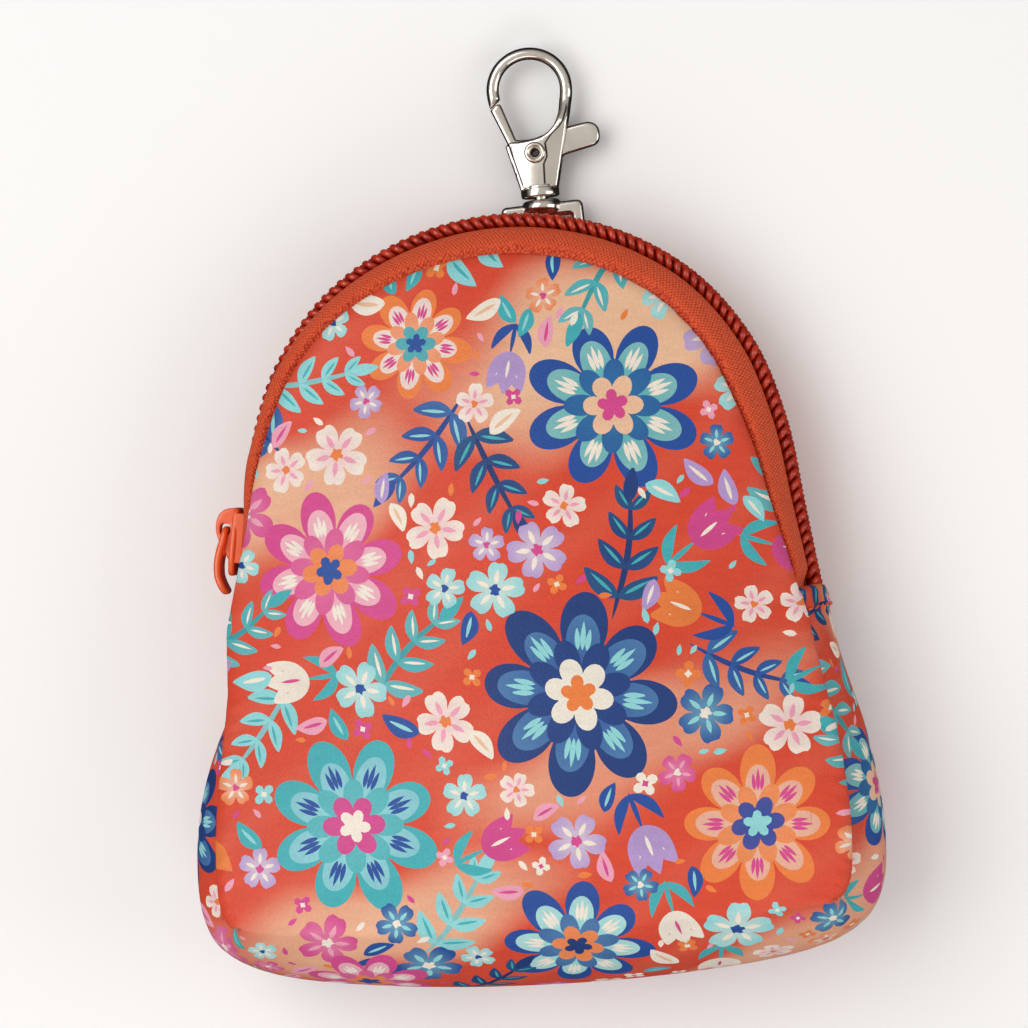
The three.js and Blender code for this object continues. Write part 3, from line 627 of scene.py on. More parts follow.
strip_motifs = scatter(STRIP_FLOWERS, [], ((-1, -2), (STRIP_LENGTH + 1, 36)), strip_allowed)
cover_shapes = shapes_of(front_motifs, front_to_flat, "front")
cover_shapes += shapes_of(strip_motifs, strip_to_flat, "strip")
# The cut of the cloth: room between its grid and the print's lines, and the least sizes that count
GRID_CLEAR, JOIN_WITHIN, LEAST_AREA = 0.55, 1e-4, 1e-7
NORMAL_STEP, HEX_RISE = 0.35, 0.866


def even_odd(points, loop):
    """Which points lie inside a closed loop."""
    inside = np.zeros(len(points), bool)
    for (ax, ay), (bx, by) in zip(loop, np.roll(loop, -1, axis=0)):
        if ay == by:
            continue
        crosses = (ay > points[:, 1]) != (by > points[:, 1])
        inside ^= crosses & (points[:, 0] < (bx - ax) * (points[:, 1] - ay) / (by - ay) + ax)
    return inside


def printed_cloth(boundary, seams, grid, shapes, pick):
    """Cuts the flat cloth into triangles along the print, and colours their corners."""
    coords, edges, faces = [], [], []

    def add_line(points, closed):
        first = len(coords)
        coords.extend(map(tuple, points))
        edges.extend((first + k, first + k + 1) for k in range(len(points) - 1))
        if closed:
            edges.append((first + len(points) - 1, first))

    add_line(boundary, True)
    for seam in seams:
        add_line(seam, False)
    for shape in shapes:
        first = len(coords)
        coords.extend(map(tuple, shape.outline))
        face = list(range(first, first + len(shape.outline)))
        x, y = shape.outline.T
        clockwise = np.dot(x, np.roll(y, -1)) < np.dot(y, np.roll(x, -1))
        faces.append(face[::-1] if clockwise else face)
    tree = kdtree.KDTree(len(coords))
    for k, (x, y) in enumerate(coords):
        tree.insert((x, y, 0), k)
    tree.balance()
    coords.extend(tuple(p) for p in grid if tree.find((p[0], p[1], 0))[2] > GRID_CLEAR)
    made = delaunay_2d_cdt([Vector(p) for p in coords], edges, faces, 0, JOIN_WITHIN)
    points = np.array([tuple(v) for v in made[0]])
    triangles = np.array(made[2])
    corners = points[triangles]
    middles = corners.mean(axis=1)
    sides = corners[:, 1:] - corners[:, :1]
    area = sides[:, 0, 0] * sides[:, 1, 1] - sides[:, 0, 1] * sides[:, 1, 0]
    triangles[area < 0] = triangles[area < 0][:, ::-1]
    keep = even_odd(middles, np.asarray(boundary)) & (np.abs(area) > LEAST_AREA)
    allowed = pick(middles)
    colours = ground_colour(points)[triangles]
    for k in np.flatnonzero(keep):
        under = [i for i in made[5][k] if allowed(k, shapes[i])]
        if under:
            shape = shapes[max(under)]
            away = np.hypot(*(points[triangles[k]] - shape.centre).T) / shape.radius
            colours[k] = shape.middle + (shape.rim - shape.middle) * np.clip(away, 0, 1)[:, None]
    used, corners = np.unique(triangles[keep], return_inverse=True)
    return points[used], corners.reshape(-1, 3), colours[keep]


def hex_grid(low, high, pitch):
    """Points of a hexagonal grid over a box."""
    points = []
    for k, y in enumerate(np.arange(low[1], high[1], pitch * HEX_RISE)):
        points += [(x, y) for x in np.arange(low[0] + (k % 2) * pitch / 2, high[0], pitch)]
    return np.array(points)


def sheet_normals(surface, points):
    right, up = np.array([NORMAL_STEP, 0]), np.array([0, NORMAL_STEP])
    across = surface(points + right) - surface(points - right)
    along = surface(points + up) - surface(points - up)
    return unit(np.cross(across, along))


def closed_cloth(outer, inner, triangles):
    """Outer and inner skin of a cloth, closed along its cut edges."""
    count = len(outer)
    verts = np.vstack([outer, inner])
    directed = {(a, b) for t in triangles for a, b in zip(t, np.roll(t, -1))}
    rims = [(b, a, a + count, b + count) for a, b in directed if (b, a) not in directed]
    rims.sort()
    faces = [tuple(t) for t in triangles] + [tuple(t + count)[::-1] for t in triangles] + rims
    return verts, faces


def put_piece(name, part, body, nodes, slot, material):
    """Makes a smooth mesh piece from millimetres, ties it to its body, hides the nodes it stands for, and
    gives it its finish.
    """
    verts, faces = part
    mesh = bpy.data.meshes.new(name)
    mesh.from_pydata([tuple(v) for v in np.asarray(verts) * MM], [], [tuple(map(int, f)) for f in faces])
    mesh.polygons.foreach_set("use_smooth", [True] * len(mesh.polygons))
    mesh.materials.append(material)
    piece = bpy.data.objects.new(name, mesh)
    bpy.context.scene.collection.objects.link(piece)
    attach(piece, body)
    if nodes:
        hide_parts(*nodes)
    return piece


def new_material(name):
    material = bpy.data.materials.new(name)
    material.use_nodes = True
    return material, material.node_tree


def feed(tree, socket, value):
    """Gives a shader input its value, or links it to the output that gives it."""
    if isinstance(value, bpy.types.NodeSocket):
        tree.links.new(value, socket)
    else:
        socket.default_value = value


def add_node(tree, kind, **settings):
    """Adds a shader node, and sets its fields or sets and links its inputs."""
    node = tree.nodes.new(kind)
    for key, value in settings.items():
        if hasattr(node, key):
            setattr(node, key, value)
        else:
            feed(tree, node.inputs[key.replace("_", " ")], value)
    return node


def dress(tree, **settings):
    """Sets and links the inputs of a material's own shader."""
    for key, value in settings.items():
        feed(tree, tree.nodes["Principled BSDF"].inputs[key.replace("_", " ")], value)


def object_place(tree):
    return add_node(tree, "ShaderNodeTexCoord").outputs["Object"]


def noise(tree, place, scale, detail=2.0):
    return add_node(tree, "ShaderNodeTexNoise", Vector=place, Scale=scale, Detail=detail).outputs["Fac"]


def stretched(tree, place, scale, turn):
    return add_node(tree, "ShaderNodeMapping", Vector=place, Scale=scale, Rotation=(0, 0, turn)).outputs[0]


def maths(tree, operation, first, second):
    node = add_node(tree, "ShaderNodeMath", operation=operation)
    feed(tree, node.inputs[0], first)
    feed(tree, node.inputs[1], second)
    return node.outputs[0]


def mapped(tree, value, low, high, to_low=0.0, to_high=1.0):
    """A value brought from one range to another."""
    ends = {"From_Min": low, "From_Max": high, "To_Min": to_low, "To_Max": to_high}
    return add_node(tree, "ShaderNodeMapRange", Value=value, clamp=True, **ends).outputs[0]


def mixed(tree, kind, factor, first, second, blend="MIX"):
    """Two colours or two plain values, mixed."""
    node = add_node(tree, "ShaderNodeMix", data_type=kind, blend_type=blend, Factor=factor)
    first_input, result = {"RGBA": (6, 2), "FLOAT": (2, 0)}[kind]
    feed(tree, node.inputs[first_input], first)
    feed(tree, node.inputs[first_input + 1], second)
    return node.outputs[result]


def bump(tree, height, strength, distance):
    return add_node(tree, "ShaderNodeBump", Height=height, Strength=strength, Distance=distance).outputs[0]


def coated_cloth_material():
    """Printed coated cloth: brushed colour, and a pebbled satin grain about half a millimetre across."""
    material, tree = new_material("printed_coated_cloth")
    place = object_place(tree)
    print_colour = add_node(tree, "ShaderNodeVertexColor", layer_name="print").outputs["Color"]
    streaks = noise(tree, stretched(tree, place, (160, 900, 300), 0.4), 1.0, 5.0)
    pebbles = add_node(
        tree, "ShaderNodeTexVoronoi", feature="SMOOTH_F1", Vector=place, Scale=3400.0, Smoothness=0.5
    ).outputs["Distance"]
    tone = mapped(tree, streaks, 0.3, 0.7, 0.95, 1.03)
    speckle = mapped(tree, pebbles, 0.1, 0.7, 1.03, 0.92)
    grained = maths(tree, "MULTIPLY", tone, speckle)
    height = maths(tree, "ADD", maths(tree, "MULTIPLY", pebbles, -1.0), noise(tree, place, 5200.0, 3.0))
    dress(
        tree, Base_Color=mixed(tree, "RGBA", 1.0, print_colour, grained, "MULTIPLY"),
        Normal=bump(tree, height, 0.6, 0.00008), Roughness=mapped(tree, pebbles, 0.0, 1.0, 0.4, 0.56),
        Specular_IOR_Level=0.42,
    )
    return material


def corner_points(mesh):
    """Number of the point at each corner of a mesh's faces."""
    index = np.empty(len(mesh.loops), int)
    mesh.loops.foreach_get("vertex_index", index)
    return index


# The map for baking: size of the outer skin on it, size and place of the inner skin, and the rims
BAKE_OUTER, BAKE_INNER, BAKE_INNER_AT = 0.84, 0.14, (0.85, 0.85)
BAKE_RIM_AT, BAKE_RIM_WIDE = (0.93, 0.1), 0.001


def print_cover(piece, colours, flat):
    """Puts the print's corner colours on a cover, and a map for baking beside it."""
    mesh = piece.data
    rim_corners = len(mesh.loops) - 2 * 3 * len(colours)
    inside = np.broadcast_to(TOMATO, (3 * len(colours) + rim_corners, 3))
    corner = np.vstack([colours.reshape(-1, 3), inside])
    layer = mesh.color_attributes.new(name="print", type="FLOAT_COLOR", domain="CORNER")
    layer.data.foreach_set("color", np.column_stack([corner, np.ones(len(corner))]).ravel())
    low, high = flat.min(axis=0), flat.max(axis=0)
    spread = (flat - low) / (high - low).max()
    index = corner_points(mesh)
    places = np.vstack([spread * BAKE_OUTER, spread * BAKE_INNER + BAKE_INNER_AT])[index]
    rim_side = index[-rim_corners:] // len(flat)
    places[-rim_corners:] = np.array(BAKE_RIM_AT) + BAKE_RIM_WIDE * rim_side[:, None]
    mesh.uv_layers.new(name="OFBake").data.foreach_set("uv", places.ravel())


# Steps of the cut cloth: in its grid, and in rows along its edge, its hem and the lines beside its seams
GRID_PITCH, GRID_MARGIN, EDGE_ROWS, HEM_ROWS, SEAM_ROWS, RISE_STEPS = 1.45, 0.7, 0.055, 0.09, 0.06, 20
SEAM_START, SEAM_OVER, SEAM_UNDER = 0.05, (-1.2, -0.75, -0.4, -0.15, -0.03), (0.5, 1.1, 1.9, 2.8)
upper_u = np.concatenate([np.arange(LEFT_END, len(ROWS), EDGE_ROWS), np.arange(0, RIGHT_END, EDGE_ROWS)])
hem_u = np.arange(RIGHT_END, LEFT_END + 1e-6, HEM_ROWS)
hem_length = side_length(hem_u)
rise_share = np.arange(1, RISE_STEPS) / RISE_STEPS
boundary = np.vstack([
    roll_out(upper_u, 0.0),
    roll_out(RIGHT_END, rise_share * hem_length[0]),
    roll_out(hem_u, hem_length),
    roll_out(LEFT_END, rise_share[::-1] * hem_length[-1]),
])
front_grid = hex_grid((-48, -68), (48, 34), GRID_PITCH)
front_grid = front_grid[unroll(front_grid)[1] < -GRID_MARGIN]
strip_grid = hex_grid((0.8, 0.8), (STRIP_LENGTH - 0.8, 40), GRID_PITCH)
hem_run = np.interp(hem_u, strip_u, strip_run)
strip_grid = strip_grid[strip_grid[:, 1] < np.interp(strip_grid[:, 0], hem_run, hem_length) - GRID_MARGIN]
cover_grid = np.vstack([front_grid, strip_to_flat(strip_grid)])
dart_u = np.arange(RIGHT_END + SEAM_START, CORNER_ROW + 0.6, SEAM_ROWS)
zip_edge_u = np.arange(LEFT_END + SEAM_START, len(ROWS) + RIGHT_END, SEAM_ROWS)
seam_rows = [roll_out(np.arange(RIGHT_END + SEAM_START, LEFT_END - 0.02, EDGE_ROWS), 0.0)]
for away in SEAM_OVER:
    seam_rows += [roll_out(u % len(ROWS), away) for u in (dart_u, len(ROWS) - dart_u, zip_edge_u)]
for away in SEAM_UNDER:
    seam_rows += [roll_out(u, away) for u in (dart_u + SEAM_START, len(ROWS) - dart_u - SEAM_START)]


def cover_pick(middles):
    u, beyond = unroll(middles)
    at_bottom = (u > BOTTOM_FROM) & (u < BOTTOM_TO)

    def allowed(k, shape):
        if beyond[k] < 0:
            return shape.sheet == "front"
        return shape.sheet == "strip" or at_bottom[k]

    return allowed


flat, triangles, colours = printed_cloth(boundary, seam_rows, cover_grid, cover_shapes, cover_pick)
cover_normals = sheet_normals(lambda place: cover_base(place)[0], flat)
cover_mesh = closed_cloth(cover_point(flat), cover_inside(flat, cover_normals), triangles)
printed_cloth_finish = coated_cloth_material()
cover = put_piece(
    "cover_front_print", cover_mesh, "pouch", ["cover_front"], "printed_cover", printed_cloth_finish
)
print_cover(cover, colours, flat)

# Back: one flat panel of the same printed cloth, which the pouch rests on. Its rim turns up and is
# sewn to the hem of the side wall all round.
BACK_RIM, BACK_ROWS = 5.0, 0.08
BACK_EDGE = wall_point(edge_place, edge_place.back_in, edge_place.back_z)
BACK_TURN, BACK_REACH = turn_table(BACK_EDGE)
# How squarely the edge faces the flat cloth's centre
BACK_SQUARE = -np.sum((BACK_EDGE[:, :2] - FLAT_CENTRE) / BACK_REACH[:, None] * edge_place.inward, axis=1)
BACK_TABLE = np.column_stack([BACK_REACH, BACK_SQUARE, BACK_EDGE[:, 2]])
BACK_FLOWERS = (
    (-17.0, 14.0, 12.0, BLUE_FLOWER),
    (18.0, -10.0, 13.0, PINK_FLOWER),
    (-20.0, -34.0, 13.5, TEAL_FLOWER),
    (20.0, -52.0, 13.0, NAVY_FLOWER),
)
BACK_OVER_EDGE = 0.4


def back_depth(flat):
    """Distance of each point from the panel's edge, and the height of that edge."""
    turn, reach = turn_of(flat)
    edge_reach, square, edge_z = at_places(turn, BACK_TURN, BACK_TABLE).T
    return (edge_reach - reach) * square, edge_z


def back_point(flat):
    depth, edge_z = back_depth(flat)
    return np.column_stack([flat, edge_z * np.clip(1 - depth / BACK_RIM, 0, 1.2) ** 2])


back_loop = at_places(np.arange(0, len(ROWS), BACK_ROWS), EDGE_U, BACK_EDGE[:, :2])
back_grid = hex_grid((-50, -76), (50, 36), GRID_PITCH)
back_grid = back_grid[back_depth(back_grid)[0] > GRID_MARGIN]
back_motifs = scatter(
    BACK_FLOWERS, [], ((-50, -75), (50, 36)),
    lambda x, y, radius: back_depth(np.array([[x, y]]))[0][0] > -BACK_OVER_EDGE * radius,
)
back_shapes = shapes_of(back_motifs, lambda points: points, "back")
flat, triangles, colours = printed_cloth(
    back_loop, [], back_grid, back_shapes, lambda middles: lambda k, shape: True
)
back_normals = -sheet_normals(back_point, flat)
back_outer = back_point(flat)
back_mesh = closed_cloth(back_outer, back_outer - back_normals * COVER_THICK, triangles[:, ::-1])
back_panel = put_piece(
    "cover_back_print", back_mesh, "pouch", ["cover_back"], "printed_cover", printed_cloth_finish
)
print_cover(back_panel, colours[:, ::-1], flat)

# Hem stitches: the fold at the top of each gusset is sewn down with one row of orange thread that
# runs across the gusset, below the end of the zip.
STITCH_IN, STITCH_LONG, STITCH_PITCH, STITCH_SLANT = 3.4, 1.4, 2.0, 0.16
# Cloth left clear of stitches at the front's edge, at the back, and past the end of a stitch
STITCH_FIRST, STITCH_LAST, STITCH_SPARE = 1.6, 2.0, 0.3
THREAD_RADIUS, THREAD_SIDES, THREAD_RINGS, THREAD_LIFT = 0.2, 7, 9, 0.3


def skin(rings, sides, closed=False):
    """Faces over rings of points, with a cap at both ends or closed from the last ring to the first."""
    count = rings * sides
    faces = []
    for k in range(rings if closed else rings - 1):
        for j in range(sides):
            a, b = k * sides + j, k * sides + (j + 1) % sides
            faces.append((a, b, (b + sides) % count, (a + sides) % count))
    return faces if closed else [tuple(range(sides))[::-1], *faces, tuple(range(count - sides, count))]


def tube(path, radii, sides, lean):
    """A closed tube along a path; lean gives a direction across it at each point."""
    along = unit(np.gradient(path, axis=0))
    across = unit(lean - along * np.sum(lean * along, axis=1, keepdims=True))
    other = np.cross(along, across)
    turns = (np.arange(sides) * 2 * math.pi / sides)[None, :, None]
    ring = across[:, None] * np.cos(turns) + other[:, None] * np.sin(turns)
    verts = (path[:, None] + ring * np.asarray(radii)[:, None, None]).reshape(-1, 3)
    return verts, skin(len(path), sides)


def joined(parts):
    """Several meshes as one, each a pair of points and faces."""
    verts, faces, count = [], [], 0
    for part_verts, part_faces in parts:
        verts.append(part_verts)
        faces.extend(tuple(k + count for k in face) for face in part_faces)
        count += len(part_verts)
    return np.vstack(verts), faces


def ramp(tree, value, *stops):
    """Colours over a value; each stop is a place from 0 to 1 and a colour, the two ends first."""
    node = add_node(tree, "ShaderNodeValToRGB", Fac=value)
    marks = node.color_ramp.elements
    for mark, (place, colour) in zip(marks, stops):
        mark.position, mark.color = place, (*colour, 1)
    for place, colour in stops[2:]:
        marks.new(place).color = (*colour, 1)
    return node.outputs[0]


def waves(tree, place, scale, distortion, direction):
    settings = {"Vector": place, "Scale": scale, "Distortion": distortion, "bands_direction": direction}
    return add_node(tree, "ShaderNodeTexWave", **settings).outputs["Fac"]


def thread_material():
    """Orange sewing thread, with the fine slanted ply that shows on it."""
    material, tree = new_material("orange_thread")
    ply = waves(tree, object_place(tree), 900.0, 1.5, "DIAGONAL")
    tint = ramp(tree, ply, (0, paint("c8401c")), (1, paint("f0703a")))
    dress(tree, Base_Color=tint, Normal=bump(tree, ply, 0.5, 0.00006), Roughness=0.6)
    return material


def hem_stitches(end_row, direction):
    row = end_row + direction * STITCH_IN / ROW_LENGTH
    length = side_length(row)[0]
    share = np.linspace(-1, 1, THREAD_RINGS)
    radii = THREAD_RADIUS * np.sqrt(np.clip(1.02 - share**4, 0, None))
    stitches = []
    for start in np.arange(STITCH_FIRST, length - STITCH_LAST, STITCH_PITCH):
        down = np.linspace(start, min(start + STITCH_LONG, length - STITCH_SPARE), THREAD_RINGS)
        flat_line = roll_out(row - direction * share * STITCH_SLANT / ROW_LENGTH, down)
        normal = sheet_normals(cover_point, flat_line)
        lift = THREAD_RADIUS * (THREAD_LIFT - share**6)
        stitches.append(tube(cover_point(flat_line) + normal * lift[:, None], radii, THREAD_SIDES, normal))
    return stitches


stitch_mesh = joined(hem_stitches(RIGHT_END, 1) + hem_stitches(LEFT_END, -1))
put_piece("hem_stitches", stitch_mesh, "pouch", [], "zip_tape", thread_material())

# Zip tapes: two woven polyester tapes. Each is folded into a soft puffy band, sewn under the edge of
# the front or the back, and carries half of the coil on its other edge.
COIL_PROUD, COIL_PROUD_TOP, COIL_HALF, COIL_CLEAR = 1.4, 2.0, 2.8, 0.1
TAPE_THICK, TAPE_PUFF, PUFF_FULLNESS, TAPE_STEPS = 0.7, 0.9, 0.7, 330
# Beside the front's edge the tape dips into a groove, deepest down the sides
GROOVE_TOP, GROOVE_SIDE, GROOVE_SHARE = 0.5, 1.9, 0.24
# The seam's distance from the front's edge and from the back's; rows of tape past each end of the zip
FRONT_SEAM, BACK_SEAM, TAPE_SPARE = 0.5, 1.2, 0.12
# In rows from the end of the zip: where the tape sinks under the hem, and where the arch's top begins
HEM_SINK, HEM_SINK_ROWS, TOP_ROWS = 1.3, (0.0, 0.25), (2.2, 5.2)
# Beside the slider the tape lies flatter and deeper; at the left end the zip is drawn in
SLIDER_ROWS, SLIDER_FLAT, SLIDER_SINK = (22.8, 23.9), 0.9, 0.5
DRAWN_END_ROWS = (LEFT_END, LEFT_END + 0.55)
# The two tapes stay clear of each other behind the coil: least level at the seam, and its fall across
LEAST_LEVEL, LEVEL_FALL = 0.09, 0.05
# Across the tape: share of the way from the seam to the coil, and how far it is tucked in there
TAPE_SECTION = (
    (-0.12, 1.8), (-0.05, 1.2), (0.0, 0.8), (0.04, 0.5), (0.08, 0.3), (0.13, 0.12), (0.18, 0.03),
    (0.25, 0.0), (0.37, 0.0), (0.5, 0.0), (0.63, 0.0), (0.75, 0.0), (0.86, 0.0), (0.95, 0.05),
    (1.0, 0.35), (1.05, 0.9), (1.15, 1.2), (1.4, 1.2), (1.62, 1.2),
)
# Place in that section of the line that the weave's length is measured along
WEAVE_COLUMN = 7


def beads(tree, run, across, long, wide, loose):
    """Staggered round loops of yarn: a height that falls from 0 at each loop's middle."""
    first = maths(tree, "MULTIPLY", run, 1 / long)
    second = maths(tree, "MULTIPLY", across, 0.5 / wide)
    slants = [maths(tree, operation, first, second) for operation in ("ADD", "SUBTRACT")]
    place = add_node(tree, "ShaderNodeCombineXYZ", X=slants[0], Y=slants[1]).outputs[0]
    cells = add_node(tree, "ShaderNodeTexVoronoi", Vector=place, Scale=1.0, Randomness=loose)
    return cells.outputs["Distance"]


def tape_material():
    """Woven tape: small loops of yarn, in even rows beside the coil and uneven beside the seam."""
    material, tree = new_material("woven_zip_tape")
    weave = add_node(tree, "ShaderNodeUVMap", uv_map="weave").outputs[0]
    run, across = add_node(tree, "ShaderNodeSeparateXYZ", Vector=weave).outputs[:2]
    shift = maths(tree, "MULTIPLY", noise(tree, weave, 1.3), 0.7)
    shifted_run, shifted_across = (maths(tree, "ADD", part, shift) for part in (run, across))
    uneven = beads(tree, shifted_run, shifted_across, 0.66, 0.42, 0.42)
    even = beads(tree, run, shifted_across, 0.56, 0.40, 0.12)
    loops = mixed(tree, "FLOAT", mapped(tree, shifted_across, 3.6, 4.6), uneven, even)
    depth = maths(tree, "ADD", loops, maths(tree, "MULTIPLY", noise(tree, weave, 6.0, 4.0), 0.3))
    # The yarn's own red-orange, with a painted highlight on the middle of each loop and painted shade
    # between the loops
    tint = ramp(tree, depth, (0.22, paint("ff6c38")), (0.88, paint("a81a06")))
    weave_bump = bump(tree, maths(tree, "MULTIPLY", depth, -1.0), 0.9, 0.0003)
    dress(tree, Base_Color=tint, Normal=weave_bump, Roughness=0.62, Specular_IOR_Level=0.35)
    return material


def grid_cloth(points, thick, facing):
    """A cloth from a grid of points, with an inner skin and closed edges."""
    rows, columns = points.shape[:2]
    normal = unit(np.cross(np.gradient(points, axis=0), np.gradient(points, axis=1)) * facing)
    triangles = []
    for i in range(rows - 1):
        for j in range(columns - 1):
            a, b = i * columns + j, i * columns + j + 1
            c, d = a + columns, b + columns
            triangles += [(a, c, d), (a, d, b)] if facing > 0 else [(a, d, c), (a, b, d)]
    outer = points.reshape(-1, 3)
    return closed_cloth(outer, outer - normal.reshape(-1, 3) * thick, np.array(triangles))


def zip_drawn_in(u):
    """How far the zip is drawn in with the gusset at its left end."""
    return DRAWN_IN * (1 - smooth_step(*DRAWN_END_ROWS, u))


def zip_tape(side):
    """One tape's grid of points: along the zip, then across from the seam to behind the coil."""
    u = np.linspace(LEFT_END - TAPE_SPARE, len(ROWS) + RIGHT_END + TAPE_SPARE, TAPE_STEPS)
    place = outline_at(u)
    rise = np.where(side > 0, place.front_z - place.crest_z, place.crest_z - place.back_z)
    seam_level = 1 - (FRONT_SEAM if side > 0 else BACK_SEAM) / rise
    coil_level = (COIL_HALF + COIL_CLEAR) / rise
    from_end = np.minimum(u - LEFT_END, len(ROWS) + RIGHT_END - u)
    under_hem = HEM_SINK * (1 - smooth_step(*HEM_SINK_ROWS, from_end))
    near_top = smooth_step(*TOP_ROWS, from_end)
    groove = GROOVE_SIDE + (GROOVE_TOP - GROOVE_SIDE) * near_top
    proud = (COIL_PROUD + (COIL_PROUD_TOP - COIL_PROUD) * near_top)[:, None]
    near_slider = 1 - smooth_step(*SLIDER_ROWS, u)
    rows = []
    for share, tuck in TAPE_SECTION:
        level = seam_level + (coil_level - seam_level) * share
        level = np.maximum(level, LEAST_LEVEL - LEVEL_FALL * share)
        inset, z = (column[:, 0] for column in side_profile(place, side * level[:, None], proud))
        puff = TAPE_PUFF * math.sin(math.pi * min(1, max(0, share))) ** PUFF_FULLNESS
        sunk = (SLIDER_FLAT * puff + SLIDER_SINK) * near_slider + under_hem
        sunk = sunk + zip_drawn_in(u) * smooth_step(*DRAWN_Z, z)
        dip = groove * np.clip(1 - max(share, 0) / GROOVE_SHARE, 0, 1) ** 2 * (side > 0)
        rows.append(slipped(wall_point(place, inset + tuck - puff + sunk, z - dip)))
    return np.stack(rows, axis=1)


tape_finish = tape_material()
for side, node in ((1, "zip_tape_front"), (-1, "zip_tape_back")):
    points = zip_tape(side)
    tape_mesh = grid_cloth(points, TAPE_THICK, side)
    tape = put_piece(node + "_weave", tape_mesh, "pouch", [node], "zip_tape", tape_finish)
    run, wide = run_along(points[:, WEAVE_COLUMN]), run_along(points[TAPE_STEPS // 2])
    weave_places = np.stack(np.meshgrid(run, wide, indexing="ij"), axis=2).reshape(-1, 2)
    corner_places = weave_places[corner_points(tape.data) % len(weave_places)]
    tape.data.uv_layers.new(name="weave").data.foreach_set("uv", corner_places.ravel())

# Zip coil: two rows of stiff nylon coil, wound from one thick strand each and sewn along the tapes.
# Closed, the loops of one row sit between those of the other.
COIL_PITCH, STRAND_RADIUS, STRAND_SIDES, TURN_STEPS = 1.64, 0.54, 8, 18
COIL_OFF, COIL_WIDE, COIL_DEEP, COIL_SWING = 1.15, 1.15, 0.75, -1.25
COIL_SPARE, COIL_PHASE = 0.04, 0.25


def coil_material():
    """Nylon coil: deep red-orange, with a soft gloss and slight changes from turn to turn."""
    material, tree = new_material("nylon_coil")
    place = object_place(tree)
    tint = ramp(tree, noise(tree, place, 700.0, 3.0), (0.3, paint("98170a")), (0.75, paint("d64020")))
    grain = bump(tree, noise(tree, place, 4000.0), 0.25, 0.00004)
    dress(tree, Base_Color=tint, Normal=grain, Roughness=0.24, Specular_IOR_Level=0.7)
    return material


zip_u = np.linspace(LEFT_END - COIL_SPARE, len(ROWS) + RIGHT_END + COIL_SPARE, 1200)
zip_run = run_along(wall_point(outline_at(zip_u), 0.0, 0.0))
run = np.arange(0, zip_run[-1], COIL_PITCH / TURN_STEPS)
rows = []
for side in (-1, 1):
    phase = 2 * math.pi * (side * COIL_PHASE - run / COIL_PITCH)
    slanted = run + COIL_SWING * COIL_PITCH / (2 * math.pi) * np.sin(phase)
    u = np.interp(slanted, zip_run, zip_u)
    place = outline_at(u)
    axis_in = STRAND_RADIUS + COIL_DEEP + zip_drawn_in(u)
    axis = wall_point(place, axis_in, place.crest_z + side * COIL_OFF)
    strand_z = place.crest_z + side * (COIL_OFF + COIL_WIDE * np.cos(phase))
    strand = wall_point(place, axis_in - COIL_DEEP * np.sin(phase), strand_z)
    rows.append(tube(strand, np.full(len(run), STRAND_RADIUS), STRAND_SIDES, strand - axis))
put_piece("zip_coil_rows", joined(rows), "pouch", ["zip_coil"], "zip_coil", coil_material())

# Slider and pull: cast zinc with thick glossy orange enamel. The slider's plate rides on the coil with
# a flange along each side, its crown bridges over the plate, and the bowed pull hangs under the crown.
SLIDER_ROW, SLIDER_GAP, PLATE_THICK = 23.05, 0.3, 1.0
PLATE_HALF = ((-6.4, 3.2), (-4.2, 4.2), (0.0, 4.2), (4.0, 3.2))
FLANGE_FROM, FLANGE_TO, FLANGE_NEAR, FLANGE_FAR, FLANGE_REACH = -4.4, 3.2, 3.2, 3.9, 0.7
CROWN_HALF = 1.3
PULL_BOW = ((1.0, 1.12), (-0.9, 1.3), (-2.8, 1.68), (-4.8, 1.85), (-6.7, 1.6), (-8.2, 0.85), (-9.2, 0.0))
PULL_WIDTH, PULL_THICK, SLOT_HALF_WIDE, SLOT_UPPER, SLOT_LOWER = 5.4, 1.1, 1.75, 0.05, -3.4
BAR_THINNER = 0.78
# Cast shapes: steps of a rounded rim, room in the grid of a face, and how faces take the light
ROUND_STEPS, GRID_SHARE, CORNER_SHARE, FILL_WITHIN = 6, 0.6, 0.45, 1e-6
SHARP_DEGREES, FACE_WEIGHT = 40, 80


def enamel_material():
    """Orange enamel over cast metal: glossy, a little uneven, thinner and redder in places."""
    material, tree = new_material("orange_enamel")
    uneven = noise(tree, object_place(tree), 420.0, 4.0)
    tint = ramp(tree, uneven, (0, paint("e8531f")), (1, paint("f56c30")))
    dress(tree, Base_Color=tint, Normal=bump(tree, uneven, 0.2, 0.00005), Roughness=0.3)
    dress(tree, Coat_Weight=0.6, Coat_Roughness=0.12)
    return material


def inset_ring(ring, amount):
    """A closed ring moved to the left of its own direction."""
    steps = unit(np.roll(ring, -1, axis=0) - ring)
    after = np.column_stack([-steps[:, 1], steps[:, 0]])
    before = np.roll(after, 1, axis=0)
    meet = np.maximum(1 + np.sum(before * after, axis=1, keepdims=True), 0.5)
    return ring + (before + after) / meet * amount


def turned_left(ring, wanted=True):
    """A ring put into left-hand order, or right-hand order."""
    x, y = ring.T
    return ring if (np.dot(x, np.roll(y, -1)) > np.dot(y, np.roll(x, -1))) == wanted else ring[::-1]


